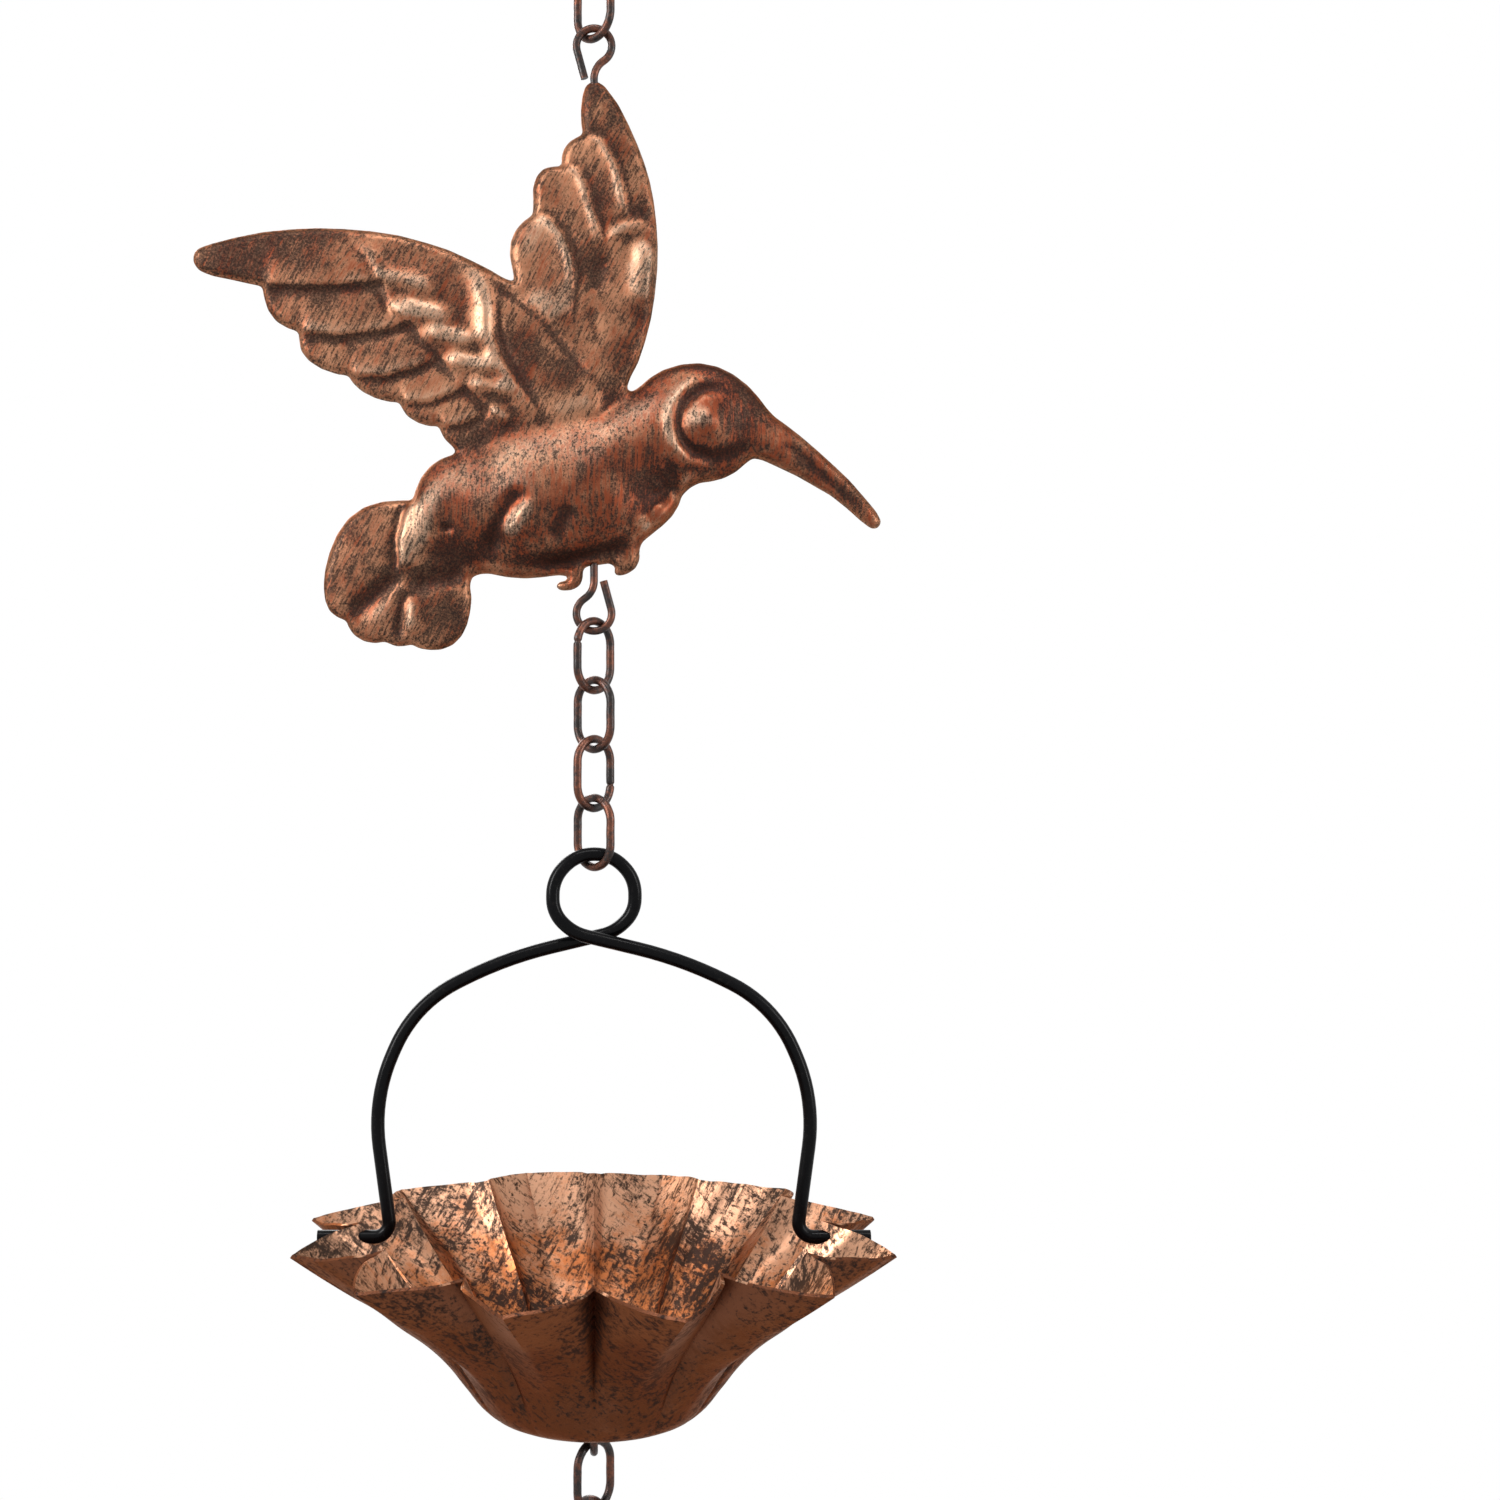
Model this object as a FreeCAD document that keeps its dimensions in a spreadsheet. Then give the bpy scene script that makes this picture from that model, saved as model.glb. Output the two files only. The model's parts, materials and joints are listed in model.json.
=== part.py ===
import FreeCAD, Part
import math
import os

# One section of a rain chain: a hanging ring, wire links, a pressed hummingbird, a bent wire bail and
# a pleated flower cup, hung one below the other. Millimetres, +Z up, the bird's face towards -Y. The
# origin is the inner top of the hanging ring, where the hook that carries the chain bears.

Vector = FreeCAD.Vector
UP = Vector(0, 0, 1)
ACROSS = Vector(1, 0, 0)
DEEP = Vector(0, 1, 0)

SIZES = [
    # Hanging ring and chain links.
    ("ring_radius", 9.0),
    ("ring_wire", 2.4),
    ("link_wire", 1.6),
    ("link_inner_length", 11.55),
    ("link_inner_width", 7.2),
    ("link_turn", 45.0),
    ("hang_play", 0.35),
    # Bird: a rod with an eye at each end between two pressed sheets.
    ("eye_wire", 1.5),
    ("eye_radius", 3.35),
    ("eye_bend", 4.0),
    ("eye_mouth", 0.3),
    ("top_eye_rise", 104.8),
    ("bottom_eye_drop", 9.7),
    ("rod_play", 0.05),
    ("sheet_wall", 0.6),
    ("sheet_rim", 0.4),
    ("relief_pitch", 2.5),
    # Bail of the cup.
    ("bail_wire", 2.6),
    ("bail_loop_radius", 7.8),
    ("bail_strand_gap", 0.1),
    ("bail_neck_slope", 13.5),
    ("bail_neck_half_width", 17.0),
    ("bail_shoulder_half_width", 34.2),
    ("bail_shoulder_drop", 28.6),
    ("bail_hip_half_width", 42.0),
    ("bail_hip_drop", 46.5),
    ("bail_foot_half_width", 38.5),
    ("bail_foot_bend", 2.8),
    ("bail_reach", 52.5),
    ("bail_height", 72.7),
    # Flower cup.
    ("petal_count", 12),
    ("cup_height", 35.4),
    ("cup_tip_drop", 2.3),
    ("cup_tip_radius", 57.4),
    ("cup_valley_radius", 46.5),
    ("cup_floor_radius", 18.4),
    ("cup_wall_rise", 0.8),
    ("pivot_depth", 2.1),
    ("pivot_play", 0.2),
    ("drain_count", 4),
    ("drain_radius", 2.2),
    ("drain_circle_radius", 10.0),
    # Wire eye under the cup.
    ("cup_eye_radius", 3.2),
    ("cup_eye_bend", 1.4),
    ("cup_eye_drop", 7.4),
    ("cup_eye_foot", 5.0),
    ("cup_eye_foot_bend", 1.2),
    ("cup_eye_play", 0.25),
]

# The pressed bird as rows of (x, z, radius, rise): each row is a chain of round swellings that taper
# into one another, seen from the front, with its origin on the rod at the height of the belly.
BIRD_SWELLINGS = {
    "body": [(-25.1, 12.5, 10.6, 5.5), (-12.2, 14.6, 13.9, 7.5), (-0.8, 17.5, 14.4, 8.0),
             (7.2, 23.6, 10.6, 7.0), (20.7, 30.0, 11.7, 6.5)],
    "breast": [(3.0, 17.5, 10.0, 6.5), (11.0, 14.2, 5.3, 4.0)],
    "beak": [(25.5, 28.5, 8.9, 5.0), (33.1, 26.4, 4.9, 3.2), (40.3, 22.4, 3.0, 2.2),
             (44.6, 19.0, 2.2, 1.8), (49.0, 14.8, 1.6, 1.5), (53.0, 10.9, 1.3, 1.3)],
    "eye_ball": [(20.4, 29.4, 5.2, 7.7), (20.9, 29.3, 5.2, 7.7)],
    "left_claw": [(-2.7, 2.7, 2.3, 1.6), (-5.4, -0.8, 1.7, 1.2)],
    "right_claw": [(5.3, 6.7, 3.8, 2.2), (5.9, 3.8, 2.5, 1.6)],
    "tail_fan": [(-35.9, 6.1, 6.8, 3.0), (-39.9, 5.3, 9.2, 3.5), (-42.4, 0.6, 9.0, 3.2)],
    "tail_feather_1": [(-35.9, 0.0, 4.9, 2.6), (-42.9, -6.8, 4.8, 2.6)],
    "tail_feather_2": [(-35.3, -0.9, 4.8, 2.6), (-37.6, -7.6, 4.6, 2.6)],
    "tail_feather_3": [(-28.9, 1.5, 5.7, 3.2), (-30.6, -5.9, 7.2, 3.0)],
    "near_wing_edge": [(-73.3, 61.4, 2.9, 1.4), (-65.4, 61.0, 5.1, 2.0), (-55.9, 59.9, 7.0, 2.4),
                       (-46.4, 58.7, 7.8, 2.6), (-36.9, 56.8, 8.4, 2.8), (-26.4, 53.0, 8.7, 3.2),
                       (-16.9, 44.6, 9.9, 4.0), (-9.3, 34.2, 9.5, 5.0)],
    "near_feather_1": [(-57.6, 52.1, 4.6, 2.0), (-40.7, 52.2, 4.0, 2.2)],
    "near_feather_2": [(-50.7, 43.9, 4.8, 2.0), (-33.1, 45.6, 3.8, 2.2)],
    "near_feather_3": [(-41.0, 38.2, 4.3, 2.0), (-26.4, 40.3, 2.9, 2.2)],
    "near_feather_4": [(-32.3, 33.2, 3.9, 1.8), (-21.7, 34.8, 2.5, 2.0)],
    "near_feather_5": [(-25.6, 28.9, 3.4, 1.6), (-17.9, 30.4, 2.7, 2.0)],
    "near_wing_root": [(-24.6, 25.6, 1.9, 1.2), (-18.0, 27.0, 3.2, 2.0)],
    "far_wing_edge": [(0.0, 92.7, 2.1, 1.9), (1.9, 88.0, 4.1, 2.2), (4.2, 80.2, 6.2, 2.4),
                      (5.5, 70.3, 6.3, 2.4), (6.1, 60.8, 5.9, 2.6), (5.3, 51.3, 5.7, 3.0),
                      (3.0, 41.8, 5.3, 4.0)],
    "far_feather_1": [(-2.1, 80.6, 4.0, 2.0), (2.1, 66.5, 4.8, 2.4)],
    "far_feather_2": [(-7.2, 73.7, 4.6, 2.0), (-0.8, 60.8, 5.3, 2.4)],
    "far_feather_3": [(-10.3, 62.7, 5.5, 2.0), (-8.6, 55.9, 5.9, 2.4), (-3.6, 47.5, 6.5, 3.0)],
    "far_wing_root": [(-3.6, 49.4, 6.5, 3.0), (-0.8, 38.0, 7.2, 4.5)],
    "rod_bead": [(0.0, 92.0, 2.0, 2.1), (0.0, 60.0, 3.0, 2.1), (0.0, 3.0, 2.6, 2.1)],
}
SWELLING_FULLNESS = 0.8

# The cup's wall as rows of (height share, tip share, valley share): the height runs from the floor to
# the tips, and the two radii from the floor's to the tips' and to the valleys'.
PETAL_CURVE = [
    (0.0, -0.046, -0.064),
    (0.015, -0.005, -0.007),
    (0.057, 0.059, 0.071),
    (0.2, 0.162, 0.2),
    (0.326, 0.244, 0.292),
    (0.441, 0.341, 0.384),
    (0.562, 0.477, 0.498),
    (0.683, 0.605, 0.626),
    (0.776, 0.73, 0.719),
    (1.0, 1.0, 0.925),
    (1.103, 1.09, 1.036),
]

doc = FreeCAD.newDocument("rain_chain")
sheet = doc.addObject("Spreadsheet::Sheet", "sizes")
for row, (alias, value) in enumerate(SIZES, start=1):
    sheet.set(f"A{row}", alias)
    sheet.set(f"B{row}", str(value))
    sheet.setAlias(f"B{row}", alias)
doc.recompute()
sub_parts = []


def size(alias):
    """A driving dimension, read from the sheet."""
    return float(sheet.get(alias))


def bind(feature, **sizes):
    """Ties properties of a feature to expressions in the sheet's aliases."""
    for name, expression in sizes.items():
        feature.setExpression(name, expression)


def keep(feature, label):
    """Marks a feature as a sub-part that is written to a file of its own."""
    feature.Label = label
    sub_parts.append(feature)
    return feature


def turned(degrees, height):
    """A place on the chain's axis, turned about it."""
    return FreeCAD.Placement(Vector(0, 0, height), FreeCAD.Rotation(UP, degrees))


def solid_from(name, shape):
    """A feature that holds the one solid of a shape."""
    feature = doc.addObject("Part::Feature", name)
    feature.Shape = shape.Solids[0]
    return feature


def swept_wire(label, edges, diameter):
    """A round wire bent along tangent edges, with its diameter tied to the sheet."""
    spine = doc.addObject("Part::Feature", label + "_path")
    spine.Shape = Part.Wire(edges)
    first = edges[0]
    profile = doc.addObject("Part::Circle", label + "_section")
    bind(profile, Radius=f"sizes.{diameter} / 2")
    heading = FreeCAD.Rotation(UP, first.tangentAt(first.FirstParameter))
    profile.Placement = FreeCAD.Placement(first.valueAt(first.FirstParameter), heading)
    sweep = doc.addObject("Part::Sweep", label)
    sweep.Sections = [profile]
    sweep.Spine = (spine, [f"Edge{number + 1}" for number in range(len(edges))])
    sweep.Solid = True
    sweep.Frenet = False
    return keep(sweep, label)


def straight(start, end):
    """A straight run of wire."""
    return Part.LineSegment(start, end).toShape()


def bend(start, middle, end):
    """A bend of wire through three points."""
    return Part.Arc(start, middle, end).toShape()


def rounded_runs(corners, radii):
    """Straight runs between corners, each corner rounded by a tangent arc of its radius."""
    edges = []
    start = corners[0]
    for before, corner, after, radius in zip(corners, corners[1:], corners[2:], radii):
        back = (before - corner).normalize()
        on = (after - corner).normalize()
        half = back.getAngle(on) / 2
        reach = radius / math.tan(half)
        apex = corner + (back + on).normalize() * (radius / math.sin(half) - radius)
        edges.append(straight(start, corner + back * reach))
        edges.append(bend(corner + back * reach, apex, corner + on * reach))
        start = corner + on * reach
    edges.append(straight(start, corners[-1]))
    return edges


def widest_radius(before, corner, after, share):
    """The radius whose arc takes up a share of the shorter of a corner's two runs."""
    half = (before - corner).getAngle(after - corner) / 2
    return share * min(before.distanceToPoint(corner), after.distanceToPoint(corner)) * math.tan(half)


def hanging_ring():
    """The plain wire ring that the chain hangs by."""
    ring = doc.addObject("Part::Torus", "hanging_ring")
    bind(ring, Radius1="sizes.ring_radius", Radius2="sizes.ring_wire / 2")
    centre = size("ring_wire") / 2 - size("ring_radius")
    upright = FreeCAD.Rotation(ACROSS, 90)
    turn = FreeCAD.Rotation(UP, size("link_turn"))
    ring.Placement = FreeCAD.Placement(Vector(0, 0, centre), turn * upright)
    keep(ring, "hanging_ring")
    return centre - size("ring_radius")


def chain_link(label, side, top):
    """An oval wire link whose upper wire has its centre at a height, turned to one side or the other."""
    pieces = []
    straight_length = size("link_inner_length") - size("link_inner_width")
    end_radius = (size("link_inner_width") + size("link_wire")) / 2
    for end, tilt in (("top", 90), ("bottom", -90)):
        arc = doc.addObject("Part::Torus", f"{label}_{end}")
        bind(arc, Radius1="(sizes.link_inner_width + sizes.link_wire) / 2", Radius2="sizes.link_wire / 2")
        arc.Angle3 = 180
        height = math.copysign(straight_length / 2, tilt)
        arc.Placement = FreeCAD.Placement(Vector(0, 0, height), FreeCAD.Rotation(ACROSS, tilt))
        pieces.append(arc)
    for leg, x in (("left", -end_radius), ("right", end_radius)):
        rod = doc.addObject("Part::Cylinder", f"{label}_{leg}")
        bind(rod, Radius="sizes.link_wire / 2", Height="sizes.link_inner_length - sizes.link_inner_width")
        rod.Placement = FreeCAD.Placement(Vector(x, 0, -straight_length / 2), FreeCAD.Rotation())
        pieces.append(rod)
    link = doc.addObject("Part::MultiFuse", label)
    link.Shapes = pieces
    link.Refine = True
    length = size("link_inner_length") + size("link_wire")
    link.Placement = turned(side * size("link_turn"), top - length / 2)
    keep(link, label)
    return top - length


def eye_path(centre_height, facing):
    """Edges of an open eye, from its cut end round to the rod; facing is 1 above the rod and -1 below."""
    radius = size("eye_radius")
    bend_radius = size("eye_bend")
    rise = math.sqrt((radius + bend_radius) ** 2 - bend_radius ** 2)
    end_offset = size("eye_wire") + size("eye_mouth")
    end_distance = math.hypot(end_offset, rise)
    end_angle = math.atan2(-rise, -end_offset) - math.acos(radius / end_distance)
    join_angle = math.atan2(-rise, bend_radius)

    def at(x, z):
        return Vector(facing * x, 0, centre_height + facing * z)

    def on_eye(angle):
        return at(radius * math.cos(angle), radius * math.sin(angle))

    def on_bend(angle):
        return at(bend_radius + bend_radius * math.cos(angle), -rise + bend_radius * math.sin(angle))

    cut_end = at(-end_offset, -rise)
    bend_start = math.pi + join_angle
    return [
        straight(cut_end, on_eye(end_angle)),
        bend(on_eye(end_angle), on_eye(math.pi / 2), on_eye(join_angle)),
        bend(on_bend(bend_start), on_bend((bend_start + math.pi) / 2), on_bend(math.pi)),
    ]


def reversed_path(edges):
    """The same bends and runs, taken from the other end."""
    turned_round = []
    for edge in reversed(edges):
        first = edge.valueAt(edge.FirstParameter)
        middle = edge.valueAt((edge.FirstParameter + edge.LastParameter) / 2)
        last = edge.valueAt(edge.LastParameter)
        is_run = isinstance(edge.Curve, (Part.Line, Part.LineSegment))
        turned_round.append(straight(last, first) if is_run else bend(last, middle, first))
    return turned_round


def bird_wire(belly):
    """The rod through the bird, bent into an open eye above and below it."""
    radius = size("eye_radius")
    top = eye_path(size("top_eye_rise") - radius, 1)
    bottom = reversed_path(eye_path(radius - size("bottom_eye_drop"), -1))
    rod = straight(top[-1].valueAt(top[-1].LastParameter), bottom[0].valueAt(bottom[0].FirstParameter))
    edges = top + [rod] + bottom
    for edge in edges:
        edge.translate(Vector(0, 0, belly))
    swept_wire("bird_hanger_wire", edges, "eye_wire")


def swelling_face(first, second):
    """The flat outline of two round swellings and the taper between them, as faces to be joined."""
    x1, z1, radius1, _ = first
    x2, z2, radius2, _ = second
    faces = []
    for x, z, radius in ((x1, z1, radius1), (x2, z2, radius2)):
        circle = Part.makeCircle(radius, Vector(x, 0, z), DEEP)
        faces.append(Part.Face(Part.Wire(circle)))
    length = math.hypot(x2 - x1, z2 - z1)
    if length > abs(radius1 - radius2):
        heading = math.atan2(z2 - z1, x2 - x1)
        spread = math.acos((radius1 - radius2) / length)
        corners = []
        for x, z, radius, sign in ((x1, z1, radius1, 1), (x2, z2, radius2, 1),
                                   (x2, z2, radius2, -1), (x1, z1, radius1, -1)):
            angle = heading + sign * spread
            corners.append(Vector(x + radius * math.cos(angle), 0, z + radius * math.sin(angle)))
        faces.append(Part.Face(Part.makePolygon(corners + corners[:1])))
    return faces


def relief(x, z):
    """How far the pressed sheet's face stands proud of the plane between the two sheets."""
    highest = 0.0
    for row in BIRD_SWELLINGS.values():
        for (x1, z1, radius1, rise1), (x2, z2, radius2, rise2) in zip(row, row[1:]):
            run_x = x2 - x1
            run_z = z2 - z1
            along = ((x - x1) * run_x + (z - z1) * run_z) / (run_x ** 2 + run_z ** 2)
            along = min(1.0, max(0.0, along))
            radius = radius1 + along * (radius2 - radius1)
            rise = rise1 + along * (rise2 - rise1)
            offset = math.hypot(x - x1 - along * run_x, z - z1 - along * run_z) / radius
            if offset < 1:
                highest = max(highest, rise * (1 - offset ** 2) ** SWELLING_FULLNESS)
    return size("sheet_rim") + highest


def behind_relief(box, sunk):
    """All the space behind the relief's smooth face, sunk below it by a depth."""
    pitch = size("relief_pitch")
    degree = 3
    margin = (degree + 1) * pitch
    columns = math.ceil((box.XLength + 2 * margin) / pitch)
    rows = math.ceil((box.ZLength + 2 * margin) / pitch)
    poles = []
    for column in range(columns):
        x = box.XMin - margin + column * pitch
        heights = [box.ZMin - margin + row * pitch for row in range(rows)]
        poles.append([Vector(x, sunk - relief(x, z), z) for z in heights])
    knots = [list(range(count - degree + 1)) for count in (columns, rows)]
    repeats = [[degree + 1] + [1] * (len(line) - 2) + [degree + 1] for line in knots]
    face = Part.BSplineSurface()
    face.buildFromPolesMultsKnots(poles, *repeats, *knots, False, False, degree, degree)
    deepest = max(swelling[3] for row in BIRD_SWELLINGS.values() for swelling in row)
    return face.toShape().extrude(DEEP * 3 * deepest)


def bird_shells(belly):
    """The two pressed sheets, front and back, hollow over the swellings and met along their rims."""
    faces = []
    for row in BIRD_SWELLINGS.values():
        for first, second in zip(row, row[1:]):
            faces += swelling_face(first, second)
    silhouette = faces[0].multiFuse(faces[1:]).removeSplitter()
    outline = Part.Face(max(silhouette.Faces, key=lambda face: face.Area).OuterWire)
    deepest = max(swelling[3] for row in BIRD_SWELLINGS.values() for swelling in row)
    blank = outline.extrude(DEEP * -2 * deepest)
    pressed = blank.common(behind_relief(outline.BoundBox, 0))
    hollow = pressed.cut(behind_relief(outline.BoundBox, size("sheet_wall")))
    slot_radius = size("eye_wire") / 2 + size("rod_play")
    slot_foot = Vector(0, 0, -size("bottom_eye_drop"))
    slot = Part.makeCylinder(slot_radius, size("top_eye_rise") + size("bottom_eye_drop"), slot_foot, UP)
    front = keep(solid_from("bird_front_shell", hollow.cut(slot)), "bird_front_shell")
    front.Placement = turned(0, belly)
    back = doc.addObject("Part::Mirroring", "bird_back_shell")
    back.Source = front
    back.Base = Vector(0, 0, 0)
    back.Normal = DEEP
    keep(back, "bird_back_shell")


def cup_bail(top):
    """The bail: one wire crossed under its top loop, arms that spread to the cup, and feet turned out."""
    radius = size("bail_loop_radius")
    strand = (size("bail_wire") + size("bail_strand_gap")) / 2
    slope = math.radians(size("bail_neck_slope"))
    crossing = -radius - radius / math.cos(slope)
    neck = size("bail_neck_half_width")
    side_angles = [112.5, 157.5, 202.5]
    last_tangent = 270 - size("bail_neck_slope")
    side_angles.append((225 + last_tangent) / 2)
    tangents = [90, 135, 180, 225, last_tangent]
    half = [Vector(0, 0, top)]
    for angle, before, after in zip(side_angles, tangents, tangents[1:]):
        reach = radius / math.cos(math.radians((after - before) / 2))
        depth = -strand * (angle - 90) / (side_angles[-1] - 90)
        x = reach * math.cos(math.radians(angle))
        z = reach * math.sin(math.radians(angle)) - radius
        half.append(Vector(x, depth, top + z))
    half.append(Vector(neck, -strand, top + crossing - neck * math.tan(slope)))
    half.append(Vector(size("bail_shoulder_half_width"), -strand / 2, top - size("bail_shoulder_drop")))
    half.append(Vector(size("bail_hip_half_width"), 0, top - size("bail_hip_drop")))
    half.append(Vector(size("bail_foot_half_width"), 0, top - size("bail_height")))
    half.append(Vector(size("bail_reach"), 0, top - size("bail_height")))
    other = [Vector(-point.x, -point.y, point.z) for point in half]
    corners = other[:0:-1] + half[1:]
    radii = []
    for number in range(1, len(corners) - 1):
        before, corner, after = corners[number - 1:number + 2]
        is_foot = number in (1, len(corners) - 2)
        radii.append(size("bail_foot_bend") if is_foot else widest_radius(before, corner, after, 0.47))
    swept_wire("cup_bail", rounded_runs(corners, radii), "bail_wire")
    return top - size("bail_height")


def petal_section(height, tip_radius, valley_radius):
    """A star of tips and valleys at a height, with a valley to the front and one at each pivot."""
    count = int(size("petal_count"))
    corners = []
    for number in range(2 * count):
        radius = tip_radius if number % 2 else valley_radius
        angle = math.pi * number / count - math.pi / 2
        corners.append(Vector(radius * math.cos(angle), radius * math.sin(angle), height))
    return Part.makePolygon(corners + corners[:1])


def petal_loft(name, raised):
    """A solid with the cup's pleated wall, raised by a height."""
    floor = size("cup_floor_radius")
    tip_height = size("cup_height") - size("cup_tip_drop")
    sections = []
    for number, (height, tip, valley) in enumerate(PETAL_CURVE):
        section = doc.addObject("Part::Feature", f"{name}_section_{number}")
        tip_radius = floor + tip * (size("cup_tip_radius") - floor)
        valley_radius = floor + valley * (size("cup_valley_radius") - floor)
        section.Shape = petal_section(raised + height * tip_height, tip_radius, valley_radius)
        sections.append(section)
    loft = doc.addObject("Part::Loft", name)
    loft.Sections = sections
    loft.Solid = True
    loft.Ruled = False
    return loft


def flower_cup(floor_height):
    """The pleated cup: two lofts, a rim that falls from the valleys to the tips, and its holes."""
    wall = doc.addObject("Part::Cut", "cup_wall")
    wall.Base = petal_loft("cup_outside", 0)
    wall.Tool = petal_loft("cup_inside", size("cup_wall_rise"))
    below_rim = doc.addObject("Part::Cone", "cup_below_rim")
    run = "(sizes.cup_tip_radius - sizes.cup_valley_radius) / sizes.cup_tip_drop"
    bind(
        below_rim,
        Radius1=f"sizes.cup_valley_radius + sizes.cup_height * {run}",
        Height=f"sizes.cup_height + sizes.cup_valley_radius / ({run})",
    )
    below_rim.Radius2 = 0
    trimmed = doc.addObject("Part::Common", "cup_trimmed")
    trimmed.Base = wall
    trimmed.Tool = below_rim
    holes = [pivot_hole(), stem_hole()] + drain_holes()
    punch = doc.addObject("Part::MultiFuse", "cup_punch")
    punch.Shapes = holes
    cup = doc.addObject("Part::Cut", "flower_cup")
    cup.Base = trimmed
    cup.Tool = punch
    cup.Placement = turned(0, floor_height)
    keep(cup, "flower_cup")


def pivot_hole():
    """The line of the two holes that the bail's feet turn in."""
    hole = doc.addObject("Part::Cylinder", "pivot_hole")
    bind(hole, Radius="sizes.bail_wire / 2 + sizes.pivot_play", Height="2 * sizes.cup_tip_radius")
    start = Vector(-size("cup_tip_radius"), 0, size("cup_height") - size("pivot_depth"))
    hole.Placement = FreeCAD.Placement(start, FreeCAD.Rotation(UP, ACROSS))
    return hole


def stem_hole():
    """The hole in the floor for the stem of the wire eye."""
    hole = doc.addObject("Part::Cylinder", "stem_hole")
    bind(hole, Radius="sizes.eye_wire / 2 + sizes.cup_eye_play", Height="3 * sizes.cup_wall_rise")
    hole.Placement = turned(0, -size("cup_wall_rise"))
    return hole


def drain_holes():
    """Holes in the floor that let the rain run down the chain."""
    holes = []
    count = int(size("drain_count"))
    for number in range(count):
        hole = doc.addObject("Part::Cylinder", f"drain_hole_{number + 1}")
        bind(hole, Radius="sizes.drain_radius", Height="3 * sizes.cup_wall_rise")
        angle = 2 * math.pi * (number + 0.5) / count
        spot = Vector(math.cos(angle), math.sin(angle), 0) * size("drain_circle_radius")
        hole.Placement = FreeCAD.Placement(spot - UP * size("cup_wall_rise"), FreeCAD.Rotation())
        holes.append(hole)
    return holes


def cup_eye(floor_height):
    """The wire eye under the cup: a foot on the floor inside, a stem through it and an open eye below."""
    radius = size("cup_eye_radius")
    bend_radius = size("cup_eye_bend")
    centre = floor_height - size("cup_eye_drop") + radius
    rise = math.sqrt((radius + bend_radius) ** 2 - bend_radius ** 2)
    join_angle = math.atan2(rise, bend_radius)
    open_angle = math.radians(-225)
    foot_height = floor_height + size("cup_wall_rise") + size("eye_wire") / 2 + size("rod_play")
    foot_bend = size("cup_eye_foot_bend")

    def on_eye(angle):
        return Vector(0, radius * math.cos(angle), centre + radius * math.sin(angle))

    def on_bend(angle):
        y = bend_radius + bend_radius * math.cos(angle)
        return Vector(0, y, centre + rise + bend_radius * math.sin(angle))

    bend_end = math.pi + join_angle
    foot = [Vector(0, -size("cup_eye_foot"), foot_height), Vector(0, 0, foot_height), on_bend(math.pi)]
    edges = rounded_runs(foot, [foot_bend])
    edges.append(bend(on_bend(math.pi), on_bend((math.pi + bend_end) / 2), on_bend(bend_end)))
    edges.append(bend(on_eye(join_angle), on_eye((join_angle + open_angle) / 2), on_eye(open_angle)))
    swept_wire("cup_eye", edges, "eye_wire")
    return floor_height - size("cup_eye_drop")


def hung_from(wire_height, wire, hung_wire):
    """The height of a wire's centre that hangs on the wire of another piece, with play between them."""
    return wire_height + (size(wire) + size(hung_wire)) / 2 + size("hang_play")


def build():
    """Hangs the pieces from the ring down, each from the lowest wire of the one above."""
    lowest = hanging_ring()
    lowest = chain_link("top_link", -1, hung_from(lowest, "ring_wire", "link_wire"))
    belly = hung_from(lowest, "link_wire", "eye_wire") - size("top_eye_rise")
    bird_shells(belly)
    bird_wire(belly)
    lowest = belly - size("bottom_eye_drop")
    wire_above = "eye_wire"
    for number, side in enumerate((1, -1, 1, -1), start=1):
        lowest = chain_link(f"chain_link_{number}", side, hung_from(lowest, wire_above, "link_wire"))
        wire_above = "link_wire"
    pivot = cup_bail(hung_from(lowest, "link_wire", "bail_wire"))
    floor_height = pivot + size("pivot_depth") - size("cup_height")
    flower_cup(floor_height)
    lowest = cup_eye(floor_height)
    lowest = chain_link("tail_link_1", 1, hung_from(lowest, "eye_wire", "link_wire"))
    chain_link("tail_link_2", -1, hung_from(lowest, "link_wire", "link_wire"))


def check_and_write():
    """Stops at a failed feature or a broken solid, and otherwise writes each sub-part to its file."""
    doc.recompute()
    for feature in doc.Objects:
        if "Invalid" in feature.State or "Error" in feature.State:
            raise RuntimeError(f"{feature.Name} failed: {feature.State}")
    for feature in sub_parts:
        shape = feature.Shape
        if shape.isNull() or not shape.isValid() or len(shape.Solids) != 1:
            raise RuntimeError(f"{feature.Label} is not one valid solid")
    os.makedirs("parts", exist_ok=True)
    for feature in sub_parts:
        feature.Shape.exportStep(f"parts/{feature.Label}.step")
        box = feature.Shape.BoundBox
        print(f"{feature.Label}: {feature.Shape.Volume:.1f} mm3, z {box.ZMin:.2f} to {box.ZMax:.2f}")


build()
check_and_write()
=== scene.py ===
import json
import math

import bpy
import numpy as np
from mathutils import Matrix, Vector


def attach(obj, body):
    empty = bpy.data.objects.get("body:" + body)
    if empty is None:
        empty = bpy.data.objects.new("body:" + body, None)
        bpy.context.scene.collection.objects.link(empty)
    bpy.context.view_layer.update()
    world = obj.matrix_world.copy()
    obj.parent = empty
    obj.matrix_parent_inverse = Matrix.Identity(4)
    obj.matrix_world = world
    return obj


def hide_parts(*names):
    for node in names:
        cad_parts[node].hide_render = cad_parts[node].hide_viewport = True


# A section of a rain chain: a pressed copper hummingbird on a wire, oval links, a black wire bail and
# a pleated flower cup. Sizes are in millimetres until a mesh is made, and in metres from there on.

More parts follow.
